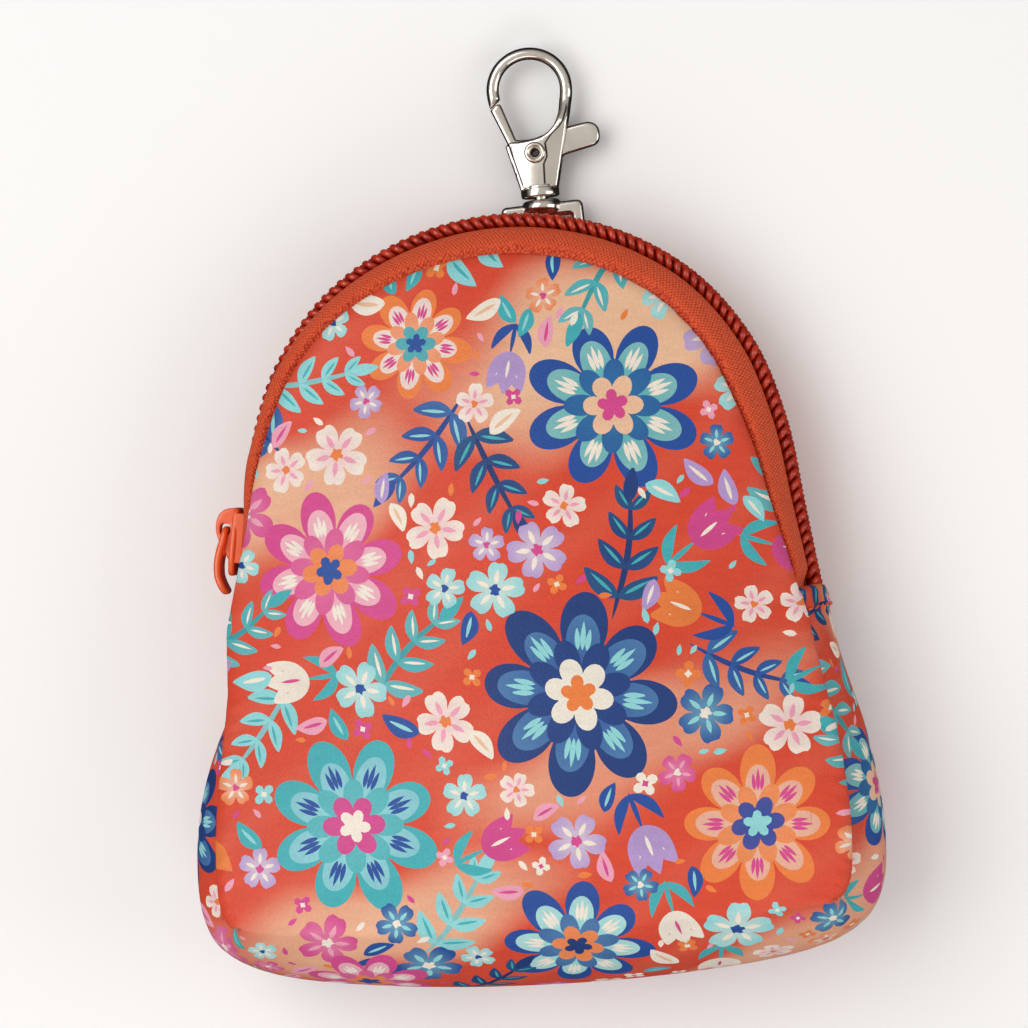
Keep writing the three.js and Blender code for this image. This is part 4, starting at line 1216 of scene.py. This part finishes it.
def fill_rings(rings, lines, spare):
    """Triangles that fill a left-hand outline apart from right-hand holes, along lines and over points."""
    coords, edges = [], []
    for ring in rings:
        first = len(coords)
        coords.extend(map(tuple, ring))
        edges.extend((first + k, first + (k + 1) % len(ring)) for k in range(len(ring)))
    for start, end in lines:
        coords.extend((start, end))
        edges.append((len(coords) - 2, len(coords) - 1))
    coords.extend(map(tuple, spare))
    made = delaunay_2d_cdt([Vector(c) for c in coords], edges, [], 0, FILL_WITHIN)
    points = np.array([tuple(v) for v in made[0]])
    triangles = np.array(made[2])
    middles = points[triangles].mean(axis=1)
    keep = np.ones(len(triangles), bool)
    for number, ring in enumerate(rings):
        keep &= even_odd(middles, ring) == (number == 0)
    place = {source: k for k, sources in enumerate(made[3]) for source in sources}
    rims = {(place[a], place[b]) for a, b in edges[:sum(map(len, rings))]}
    for k, (a, b, c) in enumerate(triangles):
        if rims & {(a, b), (b, c), (c, a)}:
            keep[k] = True
        elif rims & {(b, a), (c, b), (a, c)}:
            keep[k] = False
    return points, triangles[keep], [place[k] for k in range(sum(map(len, rings)))]


def clear_grid(rings, pitch):
    """Points spread inside an outline, clear of its rings."""
    ring_points = np.vstack(rings)
    grid = hex_grid(ring_points.min(axis=0), ring_points.max(axis=0), pitch)
    away = np.hypot(*(grid[:, None] - ring_points[None]).transpose(2, 0, 1)).min(axis=1)
    return grid[(away > GRID_SHARE * pitch) & even_odd(grid, rings[0])]


def plate(loops, low, high, rounding=0.0, pitch=None, hole_share=1.0):
    """A solid from flat loops, the first its outline and the rest holes, with its rims rounded."""
    rings = [turned_left(np.asarray(ring, float), number == 0) for number, ring in enumerate(loops)]
    shares = [1.0] + [hole_share] * (len(rings) - 1)
    bend = np.linspace(0, math.pi / 2, ROUND_STEPS) if rounding else np.zeros(1)
    levels = [(rounding * (1 - math.sin(t)), low + rounding * (1 - math.cos(t))) for t in bend]
    levels += [(rounding * (1 - math.cos(t)), high - rounding * (1 - math.sin(t))) for t in bend]
    verts, faces = [], []
    for inset, z in levels:
        flat = np.vstack([inset_ring(ring, inset * share) for ring, share in zip(rings, shares)])
        verts.append(np.column_stack([flat, np.full(len(flat), z)]))
    count, first = len(verts[0]), 0
    for ring in rings:
        for k in range(len(ring)):
            a, b = first + k, first + (k + 1) % len(ring)
            for level in range(0, (len(levels) - 1) * count, count):
                faces.append((a + level, b + level, b + level + count, a + level + count))
        first += len(ring)
    inner = [inset_ring(ring, rounding * share) for ring, share in zip(rings, shares)]
    points, triangles, place = fill_rings(inner, (), clear_grid(inner, pitch) if pitch else ())
    total = count * len(levels)
    for z, start, order in ((low, 0, -1), (high, total - count, 1)):
        number = np.arange(len(points)) + total
        number[place] = np.arange(count) + start
        verts.append(np.column_stack([points, np.full(len(points), z)]))
        faces += [tuple(number[t[::order]]) for t in triangles]
        total += len(points)
    return welded(np.vstack(verts), faces)


def welded(verts, faces):
    """A mesh with points at the same place joined, and points and faces left over dropped."""
    keys, place = np.unique(np.round(verts, 5), axis=0, return_inverse=True)
    place = place.ravel()
    solid = []
    for face in faces:
        corners = [int(place[k]) for k in face]
        corners = [c for k, c in enumerate(corners) if c != corners[k - 1]]
        if len(set(corners)) > 2:
            solid.append(tuple(corners))
    used = sorted({c for face in solid for c in face})
    number = {c: k for k, c in enumerate(used)}
    return keys[used], [tuple(number[c] for c in face) for face in solid]


def moved(part, matrix):
    verts, faces = part
    spun = np.array([tuple(matrix @ Vector(v)) for v in verts])
    return spun, [face[::-1] for face in faces] if matrix.to_3x3().determinant() < 0 else faces


def put_hard_piece(*details):
    """A piece whose flat faces stay flat to the light, beside its rounded rims."""
    piece = put_piece(*details)
    piece.data.set_sharp_from_angle(angle=math.radians(SHARP_DEGREES))
    shading = piece.modifiers.new("even_shading", "WEIGHTED_NORMAL")
    shading.weight, shading.keep_sharp = FACE_WEIGHT, True
    return piece


def bezier(start, control_a, control_b, end, steps):
    t = np.linspace(0, 1, steps + 1)[:, None]
    start, control_a, control_b, end = map(np.array, (start, control_a, control_b, end))
    inner = 3 * t * (1 - t) ** 2 * control_a + 3 * t**2 * (1 - t) * control_b
    return (1 - t) ** 3 * start + inner + t**3 * end


def quad(start, control, end, steps=6):
    start, control, end = map(np.array, (start, control, end))
    return bezier(start, start + 2 / 3 * (control - start), end + 2 / 3 * (control - end), end, steps)


def rounded(points, radius):
    """A polygon with its corners rounded."""
    points = np.array(points, float)
    ring = []
    for before, here, after in zip(np.roll(points, 1, axis=0), points, np.roll(points, -1, axis=0)):
        sides = [(end - here, np.hypot(*(end - here))) for end in (before, after)]
        start, end = (here + side * (min(radius, CORNER_SHARE * length) / length) for side, length in sides)
        ring.append(quad(start, here, end))
    return np.vstack(ring)


def box(left, low, right, high, radius):
    return rounded([(left, low), (right, low), (right, high), (left, high)], radius)


def spline(points, steps):
    """A smooth line through a few points."""
    points = np.array(points, float)
    padded = np.vstack([2 * points[0] - points[1], points, 2 * points[-1] - points[-2]])
    line = []
    for a, b, c, d in zip(padded, padded[1:], padded[2:], padded[3:]):
        for f in np.arange(steps) / steps:
            square, cube = a - 2.5 * b + 2 * c - d / 2, (d - a) / 2 + 1.5 * (b - c)
            line.append(b + f * ((c - a) / 2 + f * (square + f * cube)))
    return np.vstack([line, points[-1:]])


slider_place = outline_at(SLIDER_ROW)
slider_at = wall_point(slider_place, 0.0, slider_place.crest_z)[0]
slider_turn = math.atan2(slider_place.inward[0, 1], slider_place.inward[0, 0])
slider_frame = Matrix.Translation(slider_at) @ Matrix.Rotation(slider_turn, 4, "Z")
# From flat outlines to the slider: along the zip and across it, or along the zip and out from it
ACROSS = Matrix(((0, 0, 1, 0), (1, 0, 0, 0), (0, 1, 0, 0), (0, 0, 0, 1)))
OUTWARD = Matrix(((0, -1, 0, -SLIDER_GAP - PLATE_THICK), (1, 0, 0, 0), (0, 0, 1, 0), (0, 0, 0, 1)))
slider_out, slider_in = -SLIDER_GAP - PLATE_THICK, -SLIDER_GAP
plate_outline = rounded([*PLATE_HALF, *[(along, -across) for along, across in PLATE_HALF[::-1]]], 1.0)
slider_parts = [plate([plate_outline], slider_out, slider_in, rounding=0.45)]
for side in (-1, 1):
    flange = box(FLANGE_FROM, side * FLANGE_NEAR, FLANGE_TO, side * FLANGE_FAR, 0.3)
    slider_parts.append(plate([flange], slider_in - PLATE_THICK / 2, FLANGE_REACH, rounding=0.2))
crown_outline = np.vstack([
    quad((3.2, -0.85), (3.9, -0.85), (3.9, -0.15)),
    bezier((3.9, -0.15), (3.9, 1.9), (2.8, 2.75), (1.0, 2.75), 12)[1:-1],
    bezier((1.0, 2.75), (-1.4, 2.75), (-3.4, 0.35), (-5.1, -0.1), 14)[:-1],
    bezier((-5.1, -0.1), (-5.6, -0.23), (-5.65, -0.85), (-5.1, -0.85), 8),
])
crown_loops = [evenly(crown_outline, 0.3), box(-0.3, 0.5, 1.4, 2.0, 0.6)]
crown = plate(crown_loops, -CROWN_HALF, CROWN_HALF, rounding=0.28, pitch=0.5, hole_share=0.5)
slider_parts = [moved(part, slider_frame @ ACROSS) for part in slider_parts]
slider_mesh = joined([*slider_parts, moved(crown, slider_frame @ OUTWARD)])
enamel_finish = enamel_material()
put_hard_piece("zip_slider_enamel", slider_mesh, "pouch", ["zip_slider"], "enamel", enamel_finish)

# The pull is laid out flat along its bow, and bent to it
bow = spline(PULL_BOW, 12)
bow_step = np.gradient(bow, axis=0)
bow_out = unit(np.column_stack([bow_step[:, 1], -bow_step[:, 0]]))
bow_run = run_along(bow)
slot_start, slot_end = (np.interp(-along, -bow[:, 0], bow_run) for along in (SLOT_UPPER, SLOT_LOWER))
pull_loops = [
    evenly(box(start, -half, end, half, corner), 0.45)
    for start, end, half, corner in (
        (0, bow_run[-1], PULL_WIDTH / 2, 1.6), (slot_start, slot_end, SLOT_HALF_WIDE, 0.9),
    )
]
pull_flat, faces = plate(
    pull_loops, -PULL_THICK / 2, PULL_THICK / 2, rounding=0.5, pitch=0.6, hole_share=0.6
)
pull_run, pull_across, pull_out = pull_flat.T
pull_out = pull_out * np.interp(pull_run, (slot_start, slot_start + 2), (BAR_THINNER, 1))
bowed = at_places(pull_run, bow_run, bow) + at_places(pull_run, bow_run, bow_out) * pull_out[:, None]
pull_mesh = moved((np.column_stack([bowed, pull_across]), faces), slider_frame @ OUTWARD)
put_hard_piece("zip_puller_enamel", pull_mesh, "puller", ["zip_puller"], "enamel", enamel_finish)

# Clip: a small cast and nickel-plated trigger clip. Its eye is held by the tab and ends in a post that
# the hook's collar turns on; the gate and its thumb lever turn on a hollow rivet between two cheeks.
CLIP_AT, CLIP_LEAN = (5.0, 42.25, 3.3), math.radians(3.1)
clip_frame = Matrix.Translation(CLIP_AT) @ Matrix.Rotation(CLIP_LEAN, 4, "Z")
EYE_HALF, EYE_TOP, EYE_BOTTOM, EYE_POST, EYE_THICK = 6.3, -0.65, -6.5, 1.9, 1.9
WINDOW_TOP, WINDOW_BOTTOM = -2.8, -4.7
CHEEK_OUT, SLOT_HALF, SLOT_BOTTOM, SLOT_TOP, CHEEK_RIM = 2.3, 1.25, 3.9, 11.2, 0.4
LOOP_X, LOOP_Y, LOOP_WIDE, LOOP_UP, LOOP_DOWN, WIRE = 0.1, 17.0, 5.65, 5.5, 7.0, 0.95
LOOP_FROM, LOOP_TO, TIP_SLANT = -20.0, 194.0, 8.0
PIVOT_Y, PIN, PIN_BORE, RIVET_HEAD, PIN_PLAY = 7.1, 1.0, 0.6, 1.65, 0.3
GATE_THICK = 1.8
# The line where the cheek's bright face breaks to its slanted right face: y, x
BREAK_LINE = (
    (1.0, 0.85), (5.2, 1.1), (6.4, 1.75), (8.4, 1.65), (9.6, 2.7),
    (10.5, 3.9), (11.5, 4.75), (13.0, 5.3), (15.0, 5.9), (16.0, 7.9),
)
LEFT_BOW, RIGHT_SLANT, BREAK_STEP, BREAK_WIDE = 0.017, 0.1, 0.2, 0.14
# The left face stands proud of a rim along the cheek's left edge: the edge's ends, and the rim's step
LEFT_EDGE, RIM_FROM, RIM_TO, RIM_STEP = np.array([(-2.85, 1.5), (-4.45, 8.5)]), 0.55, 0.69, 0.16
# Heights that the painted shade in the creases runs between, and the distance of the lines set beside the
# creases
CREASE_LOW, BREAK_HIGH, RIM_HIGH, CREASE_STEP = 2.15, 14.0, 9, 0.14
# Rows of points inside the hook's outline, and the pitch of its faces, its lines and the room about them
HOOK_ROWS = (0.03, 0.08, 0.15, 0.24, 0.36, 0.5, 0.66)
HOOK_PITCH, LINE_PITCH, LINE_CLEAR, HOLE_CLEAR = 0.42, 0.3, 0.19, 1.45


def nickel_material():
    """Bright nickel plate, with faint cloudy marks, hairline scratches and near-black painted shade in its
    creases.
    """
    material, tree = new_material("nickel_plate")
    place = object_place(tree)
    cloud = noise(tree, place, 260.0, 5.0)
    hairs = noise(tree, stretched(tree, place, (9000, 700, 2000), 0.7), 1.0)
    tint = ramp(tree, cloud, (0, paint("d2cabf")), (1, paint("e9e5de")))
    # Painted shade: where the hook's crease marks are set, the colour goes near black
    crease = add_node(tree, "ShaderNodeVertexColor", layer_name="crease").outputs["Color"]
    dress(
        tree, Base_Color=mixed(tree, "RGBA", crease, tint, (0.03, 0.025, 0.025, 1)), Metallic=1.0,
        Normal=bump(tree, hairs, 0.05, 0.00002), Roughness=mapped(tree, cloud, 0.0, 1.0, 0.11, 0.21),
    )
    return material


def circle(x, y, radius, sides):
    turns = np.arange(sides) * 2 * math.pi / sides
    return np.column_stack([x + radius * np.cos(turns), y + radius * np.sin(turns)])


def lathe(profile, sides, closed=False):
    """A round solid about +Y from a profile of radius and height, which may be closed."""
    rings = [circle(0, 0, radius, sides) for radius, _ in profile]
    verts = [(x, y, z) for ring, (_, y) in zip(rings, profile) for x, z in ring]
    return np.array(verts), [face[::-1] for face in skin(len(profile), sides, closed)]


nickel_finish = nickel_material()
inner_post = EYE_HALF - EYE_POST
eye_loops = [
    box(-EYE_HALF, EYE_BOTTOM, EYE_HALF, EYE_TOP, 1.05),
    box(-inner_post, WINDOW_BOTTOM, inner_post, WINDOW_TOP, 0.5),
]
post_profile = (
    (0.01, -2.75), (1.2, -2.75), (1.9, -2.6), (2.5, -2.25), (2.9, -1.75), (3.05, -1.15), (2.95, -0.6),
    (2.7, -0.25), (2.3, -0.1),
    (1.05, -0.1), (1.05, 2.6), (1.4, 2.6), (1.5, 2.75), (1.5, 3.2), (1.3, 3.4), (0.01, 3.4),
)
eye_parts = [plate(eye_loops, -EYE_THICK / 2, EYE_THICK / 2, rounding=0.65), lathe(post_profile, 32)]
eye_mesh = moved(joined(eye_parts), clip_frame)
put_hard_piece("clip_eye_cast", eye_mesh, "pouch", ["clip_eye"], "nickel", nickel_finish)


def loop_side(offset, start, end):
    """One side of the loop's wire in plan, between two turns in degrees."""
    turn = np.radians(np.linspace(start, end, 64))
    rise = np.where(np.sin(turn) > 0, LOOP_UP, LOOP_DOWN)
    path = np.column_stack([LOOP_X + LOOP_WIDE * np.cos(turn), LOOP_Y + rise * np.sin(turn)])
    step = np.gradient(path, axis=0) * np.sign(end - start)
    return path + unit(np.column_stack([step[:, 1], -step[:, 0]])) * offset


hook_outline = evenly(np.vstack([
    [(-2.85, 1.5), (2.8, 1.5), (5.35, 11.0)],
    loop_side(WIRE, LOOP_FROM, LOOP_TO + TIP_SLANT / 2),
    loop_side(-WIRE, LOOP_TO - TIP_SLANT / 2, LOOP_FROM),
    quad((4.35, 13.9), (3.9, 9.9), (0.2, 9.25), 12),
    quad((0.2, 9.25), (-2.0, 8.9), (-3.7, 9.2))[1:],
    [(-4.45, 8.5)],
]), 0.36)


def edge_distance(points, ring):
    """Distance of each point from a closed ring."""
    start, along = ring, np.roll(ring, -1, axis=0) - ring
    share = np.einsum("pnk,nk->pn", points[:, None] - start, along) / np.sum(along**2, axis=1)
    near = start + np.clip(share, 0, 1)[:, :, None] * along
    return np.linalg.norm(points[:, None] - near, axis=2).min(axis=1)


left_along = unit(LEFT_EDGE[1] - LEFT_EDGE[0])
left_inward = np.array([left_along[1], -left_along[0]])
# Heights over which the wire swells into the cheeks, and the slanted faces and the rim die away
CHEEK_Y, SLANT_Y, RIM_Y = (15.4, 11.0), (15.0, 10.5), (9.8, 9.0)
RIGHT_REACH, LEFT_REACH, LEAST_WALL, SLOT_SPARE, RIM_RUN = 3, 5, 0.12, 0.2, (-0.5, 8.2)


def past_break(points):
    """How far points lie to the right of the cheek's break line."""
    line_y, line_x = np.array(BREAK_LINE).T
    return points[:, 0] - np.interp(points[:, 1], line_y, line_x)


def past_left_edge(points):
    return (points[:, :2] - LEFT_EDGE[0]) @ left_inward


def hook_half_thickness(points):
    """The loop is a round wire, which swells at its root into two flat cheeks with rounded rims."""
    y = points[:, 1]
    cheek = smooth_step(*CHEEK_Y, y)
    rim = WIRE + (CHEEK_RIM - WIRE) * cheek
    wall = (CHEEK_OUT - CHEEK_RIM) * cheek
    lift = 1 - round_off(1 - np.clip(edge_distance(points, hook_outline) / rim, 0, 1))
    past = past_break(points)
    slant = RIGHT_SLANT * np.clip(past, 0, RIGHT_REACH) + BREAK_STEP * smooth_step(0, BREAK_WIDE, past)
    slant = np.where(past > 0, slant, LEFT_BOW * np.clip(past, -LEFT_REACH, 0) ** 2)
    slant = slant * smooth_step(*SLANT_Y, y)
    in_rim = smooth_step(RIM_TO, RIM_FROM, past_left_edge(points)) * smooth_step(*RIM_Y, y)
    slant = slant + RIM_STEP * in_rim
    thick = WIRE + (CHEEK_OUT - WIRE) * cheek
    half = wall + (thick - wall) * lift - slant * cheek
    return np.where(y < SLOT_TOP + SLOT_SPARE, np.maximum(half, SLOT_HALF + LEAST_WALL), half)


def slotted_slab(outline, hole, half_thickness, slot_half, slot_low, slot_high, creases):
    """A slab of changing thickness, with a slot through its middle between two heights."""
    rows = [inset_ring(outline, away) for away in HOOK_ROWS]
    spare = np.vstack([*rows, clear_grid([outline], HOOK_PITCH)])
    spare = spare[np.hypot(*(spare - hole.mean(axis=0)).T) > HOLE_CLEAR]
    lines, line_points = [], []
    for line in (*creases, *([(-9, y), (9, y)] for y in (slot_low, slot_high))):
        counts = [max(2, int(math.dist(a, b) / LINE_PITCH)) for a, b in zip(line, line[1:])]
        steps = [np.linspace(a, b, count)[:-1] for a, b, count in zip(line, line[1:], counts)]
        line = np.vstack([*steps, [line[-1]]])
        line_points.append(line)
        lines += [(tuple(a), tuple(b)) for a, b in zip(line, line[1:])]
    line_points = np.vstack(line_points)
    away = np.hypot(*(spare[:, None] - line_points[None]).transpose(2, 0, 1)).min(axis=1)
    spare = spare[away > LINE_CLEAR]
    points, triangles, _ = fill_rings([outline, hole], lines, spare)
    half = half_thickness(points)
    count = len(points)
    layers = (half, np.full(count, slot_half), np.full(count, -slot_half), -half)
    verts = np.vstack([np.column_stack([points, z]) for z in layers])
    middle_y = points[triangles][:, :, 1].mean(axis=1)
    slotted = (middle_y > slot_low) & (middle_y < slot_high)
    faces = []
    owner = {}
    for t, open_here in zip(triangles, slotted):
        faces += [tuple(t), tuple(t + 3 * count)[::-1]]
        if open_here:
            faces += [tuple(t + count)[::-1], tuple(t + 2 * count)]
        for a, b in zip(t, np.roll(t, -1)):
            owner[a, b] = open_here
    slot_ends = set()
    for (a, b), open_here in owner.items():
        if open_here and not owner.get((b, a), True):
            slot_ends |= {a, b}
    for (a, b), open_here in owner.items():
        if (b, a) not in owner:
            spans = ((0, 1), (2, 3)) if open_here else ((0, 1, 2, 3),)
        elif open_here and not owner[b, a]:
            spans = ((2, 1),)
        else:
            continue
        for span in spans:
            near, far = (span if len(span) == 2 or k in slot_ends else (0, 3) for k in (a, b))
            faces.append((*(a + k * count for k in near), *(b + k * count for k in far[::-1])))
    return welded(verts, faces)


pin_hole = circle(0, PIVOT_Y, PIN + PIN_PLAY, 24)
break_aways = (-CREASE_STEP, 0, BREAK_WIDE, BREAK_WIDE + CREASE_STEP)
crease_lines = [[(x + away, y) for y, x in BREAK_LINE] for away in break_aways]
for away in (RIM_FROM - CREASE_STEP, RIM_FROM, RIM_TO, RIM_TO + CREASE_STEP):
    start = LEFT_EDGE[0] + left_inward * away
    crease_lines.append([tuple(start + left_along * run) for run in RIM_RUN])
hook_slab = slotted_slab(
    hook_outline, pin_hole[::-1], hook_half_thickness, SLOT_HALF, SLOT_BOTTOM, SLOT_TOP, crease_lines
)
collar = lathe((
    (1.35, 0.3), (2.6, 0.3), (2.8, 0.36), (2.92, 0.5), (2.95, 0.65), (2.95, 1.5), (2.9, 1.66), (2.75, 1.74),
    (2.66, 1.78), (2.66, 2.0), (2.6, 2.1), (1.35, 2.1),
), 48)
verts, faces = joined([hook_slab, collar])


def within(values, low, high):
    return (values > low) & (values < high)


# Painted shade: points on the steps of the break line and of the left rim, on the outer faces, are marked
# to be coloured near black
TOUCH, FACE_OUT = 0.01, 0.05
in_break = within(past_break(verts), -TOUCH, BREAK_WIDE + TOUCH)
in_break &= within(verts[:, 1], CREASE_LOW, BREAK_HIGH)
in_rim = within(past_left_edge(verts), RIM_FROM - TOUCH, RIM_TO + TOUCH)
in_rim &= within(verts[:, 1], CREASE_LOW, RIM_HIGH)
painted_shade_mask = (in_break | in_rim) & (np.abs(verts[:, 2]) > SLOT_HALF + FACE_OUT)
hook_mesh = moved((verts, faces), clip_frame)
hook = put_hard_piece("clip_hook_cast", hook_mesh, "hook", ["clip_hook"], "nickel", nickel_finish)
painted_shade_layer = hook.data.color_attributes.new(name="crease", type="FLOAT_COLOR", domain="POINT")
painted_shade_layer.data.foreach_set("color", np.repeat(painted_shade_mask.astype(float), 4))

gate_outline = evenly(np.vstack([
    [(-6.2, 14.4), (-5.25, 15.35), (-4.55, 15.2), (-2.8, 9.5)],
    quad((-2.8, 9.5), (-1.2, 9.2), (0.4, 9.5))[1:],
    [(3.6, 10.4), (8.2, 11.0)],
    quad((8.2, 11.0), (10.2, 10.9), (10.1, 9.0))[1:],
    quad((10.1, 9.0), (10.1, 7.4), (8.7, 7.2))[1:],
    [(4.4, 6.4)],
    quad((4.4, 6.4), (2.2, 4.7), (0.0, 4.7))[1:],
    quad((0.0, 4.7), (-2.6, 4.9), (-3.9, 8.3))[1:],
]), 0.4)
gate_mesh = plate(
    [gate_outline, pin_hole], -GATE_THICK / 2, GATE_THICK / 2, rounding=0.52, pitch=0.6, hole_share=0.1
)
gate_mesh = moved(gate_mesh, clip_frame)
put_hard_piece("clip_gate_cast", gate_mesh, "gate", ["clip_gate"], "nickel", nickel_finish)

RIVET_END, RIVET_SIDES = CHEEK_OUT + 0.55, 32
rivet_half = (
    (PIN_BORE, 0.0), (PIN_BORE, RIVET_END - 0.75), (0.75, RIVET_END - 0.5), (0.95, RIVET_END - 0.2),
    (1.1, RIVET_END - 0.05), (1.25, RIVET_END), (1.45, RIVET_END - 0.06), (1.6, RIVET_END - 0.2),
    (RIVET_HEAD, RIVET_END - 0.4), (PIN, RIVET_END - 0.4), (PIN, 0.0),
)
rivet_profile = [*rivet_half, *[(radius, -y) for radius, y in rivet_half[-2:0:-1]]]
rivet_frame = clip_frame @ Matrix.Translation((0, PIVOT_Y, 0)) @ Matrix.Rotation(math.pi / 2, 4, "X")
rivet_mesh = moved(lathe(rivet_profile[::-1], RIVET_SIDES, closed=True), rivet_frame)
put_hard_piece("clip_rivet_hollow", rivet_mesh, "hook", ["clip_rivet"], "nickel", nickel_finish)

# Tab: a short strap of dark red webbing, woven in fine ribs. It is folded round the bar of the clip's
# eye, and its tails are sewn in behind the zip.
TAB_WIDE, TAB_INNER, TAB_THICK = 7.6, 1.45, 1.0
TAIL_Y, TAIL_Z, TAIL_RADIUS = -6.8, 0.95, 0.85
bar_y = (WINDOW_BOTTOM + EYE_BOTTOM) / 2


def strap_material():
    """Dark red webbing, woven in fine ribs."""
    material, tree = new_material("woven_strap")
    ribs = waves(tree, object_place(tree), 420.0, 1.2, "X")
    tint = ramp(tree, ribs, (0, paint("7e1710")), (1, paint("c23a24")))
    dress(tree, Base_Color=tint, Normal=bump(tree, ribs, 0.6, 0.0001), Roughness=0.8)
    return material


fold_loops = [circle(0, 0, TAB_INNER + TAB_THICK, 40), circle(0, 0, TAB_INNER, 40)]
tail_loops = [circle(TAIL_Y - bar_y, TAIL_Z, TAIL_RADIUS, 24)]
tab_parts = [plate(loops, -TAB_WIDE / 2, TAB_WIDE / 2, rounding=0.3) for loops in (fold_loops, tail_loops)]
tab_frame = clip_frame @ Matrix.Translation((0, bar_y, 0)) @ ACROSS
tab_mesh = moved(joined(tab_parts), tab_frame)
put_hard_piece("clip_tab_strap", tab_mesh, "pouch", ["clip_tab"], "strap", strap_material())

# Stage: a plain pale floor just under the pouch, soft light from three wide studio lamps, and a camera
# above it at the photograph's viewing angle.
FLOOR_DROP, FLOOR_HALF = 0.2, 3
floor_corners = [(x * FLOOR_HALF, y * FLOOR_HALF) for x, y in ((-1, -1), (1, -1), (1, 1), (-1, 1))]
floor_mesh = bpy.data.meshes.new("floor")
floor_mesh.from_pydata([(x, y, -FLOOR_DROP * MM) for x, y in floor_corners], [], [(0, 1, 2, 3)])
floor = bpy.data.objects.new("floor", floor_mesh)
bpy.context.scene.collection.objects.link(floor)
floor_finish, floor_tree = new_material("pale_floor")
dress(floor_tree, Base_Color=(0.94, 0.94, 0.94, 1), Roughness=0.9)
floor_mesh.materials.append(floor_finish)

VIEW_TARGET = Vector((-0.00084, -0.00572, 0.018))
VIEW_DISTANCE, VIEW_SIDE, VIEW_ROLL, VIEW_LENS = 0.68, 4.5, 3.37, 158.3
camera = bpy.data.objects.new("camera", bpy.data.cameras.new("camera"))
bpy.context.scene.collection.objects.link(camera)
side = math.radians(VIEW_SIDE)
back = Vector((math.sin(side), 0, math.cos(side)))
up = Vector((math.sin(math.radians(VIEW_ROLL)), math.cos(math.radians(VIEW_ROLL)), 0))
right = up.cross(back).normalized()
up = back.cross(right)
turn = Matrix((right, up, back)).transposed()
camera.matrix_world = Matrix.Translation(VIEW_TARGET + back * VIEW_DISTANCE) @ turn.to_4x4()
camera.data.lens = VIEW_LENS
camera.data.sensor_width = 36.0
camera.data.clip_start = 0.01
bpy.context.scene.camera = camera

# Lights: name, place, width and height in metres, power; all of them face the pouch
LIGHTS = (
    ("key_light", (-0.50, 0.15, 0.80), 1.10, 0.66, 5.2),
    ("fill_light", (0.85, -0.10, 0.45), 0.50, 0.80, 2.0),
    ("low_light", (0.10, -0.80, 0.55), 0.90, 0.40, 1.8),
)
LIGHT_TARGET = Vector((0, -0.02, 0.01))
for name, place, wide, high, power in LIGHTS:
    lamp = bpy.data.lights.new(name, "AREA")
    lamp.shape, lamp.size, lamp.size_y, lamp.energy = "RECTANGLE", wide, high, power
    light = bpy.data.objects.new(name, lamp)
    light.location = place
    light.rotation_euler = (LIGHT_TARGET - Vector(place)).to_track_quat("-Z", "Y").to_euler()
    bpy.context.scene.collection.objects.link(light)
# The room: pale overhead, and dark near the floor so that the metal shows its edges
world = bpy.data.worlds.new("studio")
bpy.context.scene.world = world
world.use_nodes = True
room = world.node_tree
sky = add_node(room, "ShaderNodeTexCoord").outputs["Generated"]
sky_height = add_node(room, "ShaderNodeSeparateXYZ", Vector=sky).outputs[2]
sky_shade = ramp(
    room, sky_height, (0.12, (0.02, 0.018, 0.018)), (0.95, (0.62, 0.59, 0.55)), (0.55, (0.45, 0.43, 0.42))
)
feed(room, room.nodes["Background"].inputs[0], sky_shade)
feed(room, room.nodes["Background"].inputs[1], 1.0)
floor.visible_glossy = False
bpy.context.scene.view_settings.view_transform = "Standard"
